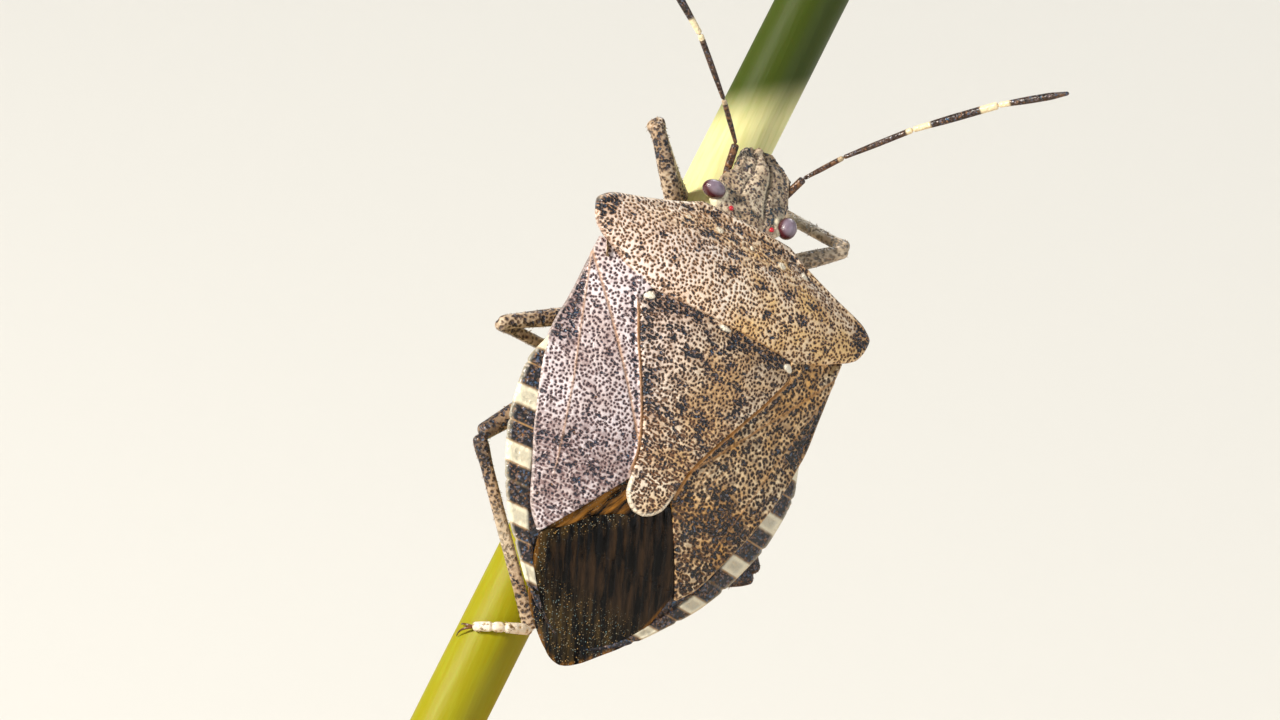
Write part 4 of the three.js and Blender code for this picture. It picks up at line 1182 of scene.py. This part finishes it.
# %% [markdown]
# Bristles are hollow hairs of cuticle that feel the air and the stem. They lean towards the foot and
# stand about a tenth of a millimetre apart. One growth tree scatters roots over a limb's skin
# and sets a thin cone on each, at an angle between the skin's own normal and the way to the foot.

# %% Bristles
BRISTLES_PER_MM2 = 26.0
BRISTLE_THICK = 0.009
BRISTLE_LENGTHS = {"thigh": 0.045, "shin": 0.07, "foot": 0.08}
PATCH = 0.0015


def bristle_tree():
    tree, given = start_tree("bristle_growth", Skin="Geometry", Length="Float", Towards="Vector",
                             Finish="Material")
    scatter = add(tree, "GeometryNodeDistributePointsOnFaces",
                  {"Mesh": given["Skin"], "Density": BRISTLES_PER_MM2 * 1e6, "Seed": 7},
                  out="Points")
    normal = scatter.node.outputs["Normal"]
    lean = add(tree, "VectorMath SCALE", given["Towards"], 0.9)
    along = add(tree, "VectorMath ADD", normal, lean)
    facing = add(tree, "FunctionNodeAlignRotationToVector", {"Vector": along}, axis="Z")
    cone = add(tree, "GeometryNodeMeshCone",
               {"Vertices": 4, "Radius Top": BRISTLE_THICK * 0.2 * MM,
                "Radius Bottom": BRISTLE_THICK * MM, "Depth": given["Length"]},
               out="Mesh")
    size = add(tree, "FunctionNodeRandomValue", {"Min": 0.6, "Max": 1.2, "Seed": 3}, data_type="FLOAT")
    placed = add(tree, "GeometryNodeInstanceOnPoints",
                 {"Points": scatter, "Instance": cone, "Rotation": facing, "Scale": size})
    return end_tree(tree, placed, given["Finish"])


def bristle_horn():
    material, tree = new_material("bristle_horn")
    close_material(tree, paint("#A08460"), 0.4, IOR=1.55)
    return material


# Each bristle gets a small patch of its own on the map, at its root's place along and around the limb
def patch_map(piece, start, end):
    corners = 8
    mesh = piece.data
    places = np.array([v.co[:] for v in mesh.vertices])
    roots = places.reshape(-1, corners, 3).mean(1)
    axis = end - start
    long = float(np.linalg.norm(axis))
    along = (roots - start) @ axis / long**2
    side = np.cross(axis, (0.3, 0.2, 1.0))
    side /= np.linalg.norm(side)
    above = np.cross(axis / long, side)
    around = np.arctan2((roots - start) @ above, (roots - start) @ side) / (2 * math.pi) + 0.5
    centre = 0.02 + 0.96 * np.stack([np.clip(along, 0, 1), around], 1)
    turn_by = np.arange(corners) / corners * 2 * math.pi
    patch = PATCH * np.stack([np.cos(turn_by), np.sin(turn_by)], 1)
    spots = (centre[:, None] + patch).reshape(-1, 2)
    layer = mesh.uv_layers.new(name="OFBake")
    loops = np.array([loop.vertex_index for loop in mesh.loops])
    layer.data.foreach_set("uv", spots[loops].astype(np.float32).ravel())


def grow_bristles(name, skin, start, end, length, slot):
    start, end = to_world(start), to_world(end)
    towards = (end - start) / np.linalg.norm(end - start)
    piece = bpy.data.objects.new(name, skin.data.copy())
    bpy.context.scene.collection.objects.link(piece)
    run_growth(piece, bristle_rule, {"Length": length * MM, "Towards": towards, "Finish": horn_of_bristles})
    patch_map(piece, start, end)
    piece.data.shade_smooth()
    dress(piece, horn_of_bristles, slot)


bristle_rule = bristle_tree()
horn_of_bristles = bristle_horn()
print("a bristle tree has", len(bristle_rule.nodes), "nodes")

# %% [markdown]
# Each of the six legs has a round hip, a short ring, a thigh, a slim shin and a foot of three
# joints with two claws. The shin is not round: it has flats and a groove down its upper side.
# All six come from one recipe and a table of where the hip, knee and foot of each lies. The feet
# lie on the stem, so their places are angles about its axis.

# %% Legs
LEGS = {
    "front_left": {"knee": (-3.16, 2.99, -1.6), "clasp": (150, 235), "reach": (1.9, 2.3), "shin": 1.25},
    "front_right": {"knee": (3.2, 2.36, -1.51), "clasp": (25, -55), "reach": (2.9, 3.2), "pale": 0.14},
    "middle_left": {"knee": (-4.61, -3.58, -2.38), "clasp": (155, 235), "reach": (-3.3, -3.5)},
    "middle_right": {"knee": (3.9, -3.6, -2.7), "clasp": (20, -55), "reach": (-5.8, -6.0)},
    "hind_left": {"knee": (-4.02, -6.55, -1.8), "clasp": (54, 150), "reach": (-10.28, -10.95),
                  "stout": 1.25, "patchy": 0.14, "dark": 0.5, "foot": 1.25},
    "hind_right": {"knee": (4.8, -6.45, -2.05), "clasp": (20, -55), "reach": (-9.6, -9.8),
                   "stout": 1.25, "shin": 1.3, "dark": 1.0},
}
HIP_Z = -2.12
FOOT_RADIUS = 0.12
FOOT_SHARE = 0.9
leg_cuticle = pitted_cuticle("leg_cuticle", "#DCCBB2", "#BDA285", "#8C7054", "#2E2428", "#1C1A22",
                             "#F2E6CB", dimensions="3D", gloss=0.38, reach=0.38, crowded=0.52, spacing=0.105)
foot_cuticle = pitted_cuticle("foot_cuticle", "#FFF9EE", "#F8EEDA", "#E4CBA0", "#B08C64", "#7A5E40",
                              "#FFF6E2", dimensions="3D", gloss=0.3, reach=0.13, crowded=0.16, spacing=0.15,
                              mottle=0.25)


def limb(name, path, radius, material, slot, node, shape=None, sides=22, **look):
    rings = sweep(path, radius, sides, shape)
    piece = loft(name, rings, even_fields(rings, **look))
    return dress(piece, material, slot, node)


def foot_path(leg, t, out):
    start, end = leg["clasp"]
    near, far = leg["reach"]
    return stem_point(near + (far - near) * t, start + (end - start) * t, out)


def grooved(angle):
    return 1 - 0.09 * np.cos(3 * angle) - 0.16 * mound(np.mod(angle, 2 * math.pi), math.pi / 2, 0.3)


def build_leg(title, leg):
    hip = np.array([*HIPS[title], HIP_Z])
    knee = np.array(leg["knee"])
    ankle = foot_path(leg, np.array(0.0), STEM_RADIUS + FOOT_RADIUS + 0.05)
    node = "leg_" + title
    ball = dome(node + "_hip", hip, (0.4, 0.42, 0.36), None, 36, 40)
    dress(ball, belly_cuticle, "cuticle_pale", node + "_coxa")
    root = hip + (knee - hip) * 0.08 + np.array([0, 0, -0.12])
    long = float(np.linalg.norm(knee - root))
    t = eased(int(long / 0.045))
    thigh = (0.15 + 0.09 * mound(t, 0.55, 0.42) + 0.03 * mound(t, 0.03, 0.05)) * round_ends(t, long, 0.17)
    thigh = thigh * leg.get("stout", 1.0)
    patchy, light, dark = (leg.get(look, 0.0) for look in ("patchy", "pale", "dark"))
    thigh_skin = limb(node + "_thigh", between(root, knee, t, 0.12), thigh, leg_cuticle, "leg",
                      node + "_femur", shade=0.03 + patchy + 0.04 * np.sin(t * 11), pale=light,
                      black=dark * smooth(t, 0.8, 0.95))
    shin_long = float(np.linalg.norm(ankle - knee))
    t = eased(int(shin_long / 0.04))
    shin = 0.165 + 0.035 * mound(t, 0.06, 0.06) + 0.03 * smooth(t, 0.75, 1.0)
    shin = shin * round_ends(t, shin_long, 0.13) * leg.get("shin", 1.0)
    shin_skin = limb(node + "_shin", between(knee, ankle, t, -0.05), shin, leg_cuticle, "leg",
                     node + "_tibia", grooved,
                     shade=0.01 + patchy * (1 - smooth(t, 0.1, 0.3)) + 0.05 * np.sin(t * 17),
                     pale=np.clip(0.3 * mound(t, 0.5, 0.12) + light, 0, 1),
                     black=dark * (1 - smooth(t, 0.06, 0.2)))
    t = eased(110)
    joints = 1 - 0.24 * sum(mound(t, at, 0.03) for at in (0.5, 0.68))
    size = FOOT_RADIUS * leg.get("foot", 1.0) * joints * (1.05 - 0.2 * t) * round_ends(t, 1.8, 0.1)
    foot_skin = limb(node + "_foot", foot_path(leg, t * FOOT_SHARE, STEM_RADIUS + FOOT_RADIUS), size,
                     foot_cuticle, "foot", node + "_tarsus", black=0.5 * smooth(t, 0.94, 1.0))
    foot_end = foot_path(leg, np.array(FOOT_SHARE), STEM_RADIUS)
    for part, skin, start, end, slot in (("thigh", thigh_skin, root, knee, "leg"),
                                         ("shin", shin_skin, knee, ankle, "leg"),
                                         ("foot", foot_skin, ankle, foot_end, "foot")):
        grow_bristles(node + "_" + part + "_bristles", skin, start, end, BRISTLE_LENGTHS[part], slot)


for title, leg in LEGS.items():
    build_leg(title, leg)

# %% [markdown]
# Claws are bare horn: amber at the root and nearly black at the tip, curved to hook the stem.
# A pair sits at the end of each foot and spreads along the stem.

# %% Claws


def claw_horn():
    material, tree = new_material("claw_horn")
    tip = field(tree, "black")
    cloud = add(tree, "TexNoise", field(tree, "rest", vector=True), 20.0)
    amber = add(tree, "Mix", cloud, "#8A5A2C", "#5E3A1E")
    colour = add(tree, "Mix", tip, amber, "#120C0A")
    close_material(tree, colour, 0.25, cloud, 0.003, IOR=1.55)
    return material


def claw(leg, spread, t):
    path = foot_path(leg, FOOT_SHARE + 0.28 * t, STEM_RADIUS + FOOT_RADIUS)
    rise = (0.1 * np.sin(t * math.pi) - 0.07 * t)[:, None]
    outward = (path - stem_point(path[:, 1], 0, 0)) / (STEM_RADIUS + FOOT_RADIUS)
    path = path + outward * rise + np.outer(t, [0, 0.17 * spread, 0])
    return sweep(path, 0.045 * (1 - 0.8 * t) * round_ends(t, 0.4, 0.03), 12)


horn = claw_horn()
for title, leg in LEGS.items():
    for letter, spread in (("a", -1), ("b", 1)):
        t = eased(22)
        rings = claw(leg, spread, t)
        hook = loft("leg_" + title + "_claw_" + letter, rings, even_fields(rings, black=t))
        dress(hook, horn, "foot", "leg_" + title + "_tarsus")

# %% [markdown]
# The stand isn't in the photograph. It is a plain turned disc of beech, oiled, with a drawn
# steel rod that the cut stem stands on. The disc's section is spun about its axis, as on a lathe.
# Beech has a fine straight grain and short dark flecks, which give the eye a warm, quiet surface.

# %% Stand
BASE_RADIUS = 12.5
BASE_THICK = 2.6
ROD_RADIUS = 0.9


def turned(name, section, steps, weld=WELD, inwards=False):
    shell = bmesh.new()
    rim = [shell.verts.new((r * MM, 0, z * MM)) for r, z in section]
    edges = [shell.edges.new(pair) for pair in zip(rim, rim[1:])]
    bmesh.ops.spin(shell, geom=rim + edges, cent=(0, 0, 0), axis=(0, 0, 1), angle=2 * math.pi, steps=steps)
    bmesh.ops.remove_doubles(shell, verts=shell.verts, dist=weld)
    bmesh.ops.recalc_face_normals(shell, faces=shell.faces)
    if inwards:
        bmesh.ops.reverse_faces(shell, faces=shell.faces)
    mesh = bpy.data.meshes.new(name)
    shell.to_mesh(mesh)
    shell.free()
    mesh.shade_smooth()
    piece = bpy.data.objects.new(name, mesh)
    bpy.context.scene.collection.objects.link(piece)
    return piece


def arc(centre, radius, start, end, count=8):
    angles = np.radians(np.linspace(start, end, count))
    return [(centre[0] + radius * math.cos(a), centre[1] + radius * math.sin(a)) for a in angles]


def oiled_beech():
    material, tree = new_material("oiled_beech")
    place = add(tree, "TexCoord", out="Object")
    grain = add(tree, "Mapping", {"Vector": place, "Scale": (60.0, 1400.0, 1400.0)})
    grain = add(tree, "TexNoise", grain, 1.0, 5.0, 0.6)
    rings = add(tree, "Mapping", {"Vector": place, "Scale": (18.0, 240.0, 240.0)})
    rings = add(tree, "TexNoise", rings, 1.0, 2.0)
    flecks = add(tree, "Mapping", {"Vector": place, "Scale": (900.0, 4200.0, 4200.0)})
    flecks = add(tree, "TexVoronoi", flecks, 1.0, out="Distance")
    fleck = add(tree, "MapRange", flecks, 0.28, 0.12)
    colour = add(tree, "Mix", rings, "#D8AE7C", "#BC8B57")
    colour = add(tree, "Mix", grain, colour, "#C99C68")
    colour = add(tree, "Mix", fleck, colour, "#8F6236")
    close_material(tree, colour, 0.45, grain, 0.02, IOR=1.48)
    return material


def drawn_steel():
    material, tree = new_material("drawn_steel")
    place = add(tree, "TexCoord", out="Object")
    lines = add(tree, "Mapping", {"Vector": place, "Scale": (9000.0, 9000.0, 150.0)})
    lines = add(tree, "TexNoise", lines, 1.0, 3.0)
    colour = add(tree, "Mix", lines, "#C4C6C9", "#9DA0A4")
    rough = add(tree, "MapRange", lines, 0.0, 1.0, 0.22, 0.38)
    close_material(tree, colour, rough, lines, 0.002, Metallic=1.0)
    return material


ROUND = 0.5
disc_section = [(0, 0), *arc((BASE_RADIUS - ROUND, ROUND), ROUND, -90, 0),
                *arc((BASE_RADIUS - ROUND, BASE_THICK - ROUND), ROUND, 0, 90),
                *arc((BASE_RADIUS - 2.2, BASE_THICK + 0.12), 0.3, -24, -156, 9), (0, BASE_THICK)]
disc = turned("stand_base_disc", disc_section, 144)
dress(disc, oiled_beech(), "beech", "stand_base")
rod_foot = to_world(stem_foot) / MM
rod_top = STEM_CUT_HEIGHT + 0.02
rod = turned("stand_rod_pin", [(0, BASE_THICK - 1), (ROD_RADIUS, BASE_THICK - 1),
                               *arc((ROD_RADIUS - 0.06, rod_top - 0.06), 0.06, 0, 90, 5), (0, rod_top)], 48)
rod.data.transform(Matrix.Translation((rod_foot[0] * MM, rod_foot[1] * MM, 0)))
dress(rod, drawn_steel(), "steel", "stand_rod")

# %% [markdown]
# The model stands in a studio sweep: a pale floor that curves up into a wall all round, so that
# no corner shows from any side. A real one is a roll of paper. Here it is a curve spun into a bowl,
# and unlike the model's pieces it is not hung under the root.

# %% Studio sweep
SWEEP_RADIUS = 850.0
SWEEP_BEND = 350.0
SWEEP_HEIGHT = 900.0
corner = np.linspace(0, math.pi / 2, 13)
bend_out = SWEEP_RADIUS - SWEEP_BEND + SWEEP_BEND * np.sin(corner)
bend_up = SWEEP_BEND * (1 - np.cos(corner))
paper_section = [(0.0, 0.0), *zip(bend_out, bend_up), (SWEEP_RADIUS, SWEEP_HEIGHT)]
paper_bowl = turned("studio_sweep", paper_section, 72, weld=0.01 * MM, inwards=True)
paper, paper_tree = new_material("studio_paper")
fibre = add(paper_tree, "TexNoise", add(paper_tree, "TexCoord", out="Object"), 900.0)
close_material(paper_tree, paint("#DEDDD8"), 0.9, fibre, 0.01)
paper_bowl.data.materials.append(paper)
print("sweep is", 2 * SWEEP_RADIUS, "mm across")

# %% [markdown]
# The photograph is sunlit from the upper left, so the left wing gleams and the right side falls
# into shade. A large soft lamp from there, a weaker one from the right and a pale sky keep that
# reading without hard shadows.

# %% Lamps


def lamp(name, place, aim, size, power, colour):
    data = bpy.data.lights.new(name, "AREA")
    data.shape = "DISK"
    data.size = size
    data.energy = power
    data.color = paint(colour)[:3]
    light = bpy.data.objects.new(name, data)
    away = Vector(place) - Vector(aim)
    light.matrix_world = Matrix.Translation(place) @ away.to_track_quat("Z", "Y").to_matrix().to_4x4()
    bpy.context.scene.collection.objects.link(light)


BUG_CENTRE = tuple(BODY_AT * MM)
lamp("key_lamp", (-0.32, -0.2, 0.28), BUG_CENTRE, 0.08, 3.1, "#FFF8EE")
lamp("fill_lamp", (0.35, -0.25, 0.12), BUG_CENTRE, 0.3, 0.42, "#EAF1FF")
lamp("back_lamp", (0.1, 0.35, 0.3), BUG_CENTRE, 0.25, 0.7, "#FFFFFF")
world = bpy.data.worlds.new("pale_sky")
world.use_nodes = True
sky = world.node_tree.nodes["Background"]
sky.inputs["Color"].default_value = paint("#EEF2F5")
sky.inputs["Strength"].default_value = 0.3
bpy.context.scene.world = world
bpy.context.scene.view_settings.view_transform = "Standard"

# %% [markdown]
# The camera stands where the photographer's did, turned with the insect: 15 degrees above level,
# looking at a point a little left of and below the shoulders. A long lens from 20 cm keeps
# the outline almost flat, as the photograph's does.

# %% Camera
ELEVATION = math.radians(15)
CAMERA_REACH = 200.0
FRAME_WIDTH = 33.42
AIM_RIGHT = -2.47
AIM_UP = -2.23
right = np.array([1.0, 0.0, 0.0])
up = np.array([0.0, math.sin(ELEVATION), math.cos(ELEVATION)])
back = np.cross(right, up)
aim = BODY_AT + right * AIM_RIGHT + up * AIM_UP
camera_data = bpy.data.cameras.new("camera")
camera_data.sensor_width = 36.0
camera_data.lens = camera_data.sensor_width * CAMERA_REACH / FRAME_WIDTH
camera_data.clip_start = 0.01
camera = bpy.data.objects.new("camera", camera_data)
stand_point = (aim + back * CAMERA_REACH) * MM
camera.matrix_world = Matrix.Translation(stand_point) @ Matrix(np.stack([right, up, back], 1)).to_4x4()
bpy.context.scene.collection.objects.link(camera)
bpy.context.scene.camera = camera
print("camera is", round(float(stand_point[2]) * 1000, 1), "mm above the floor")
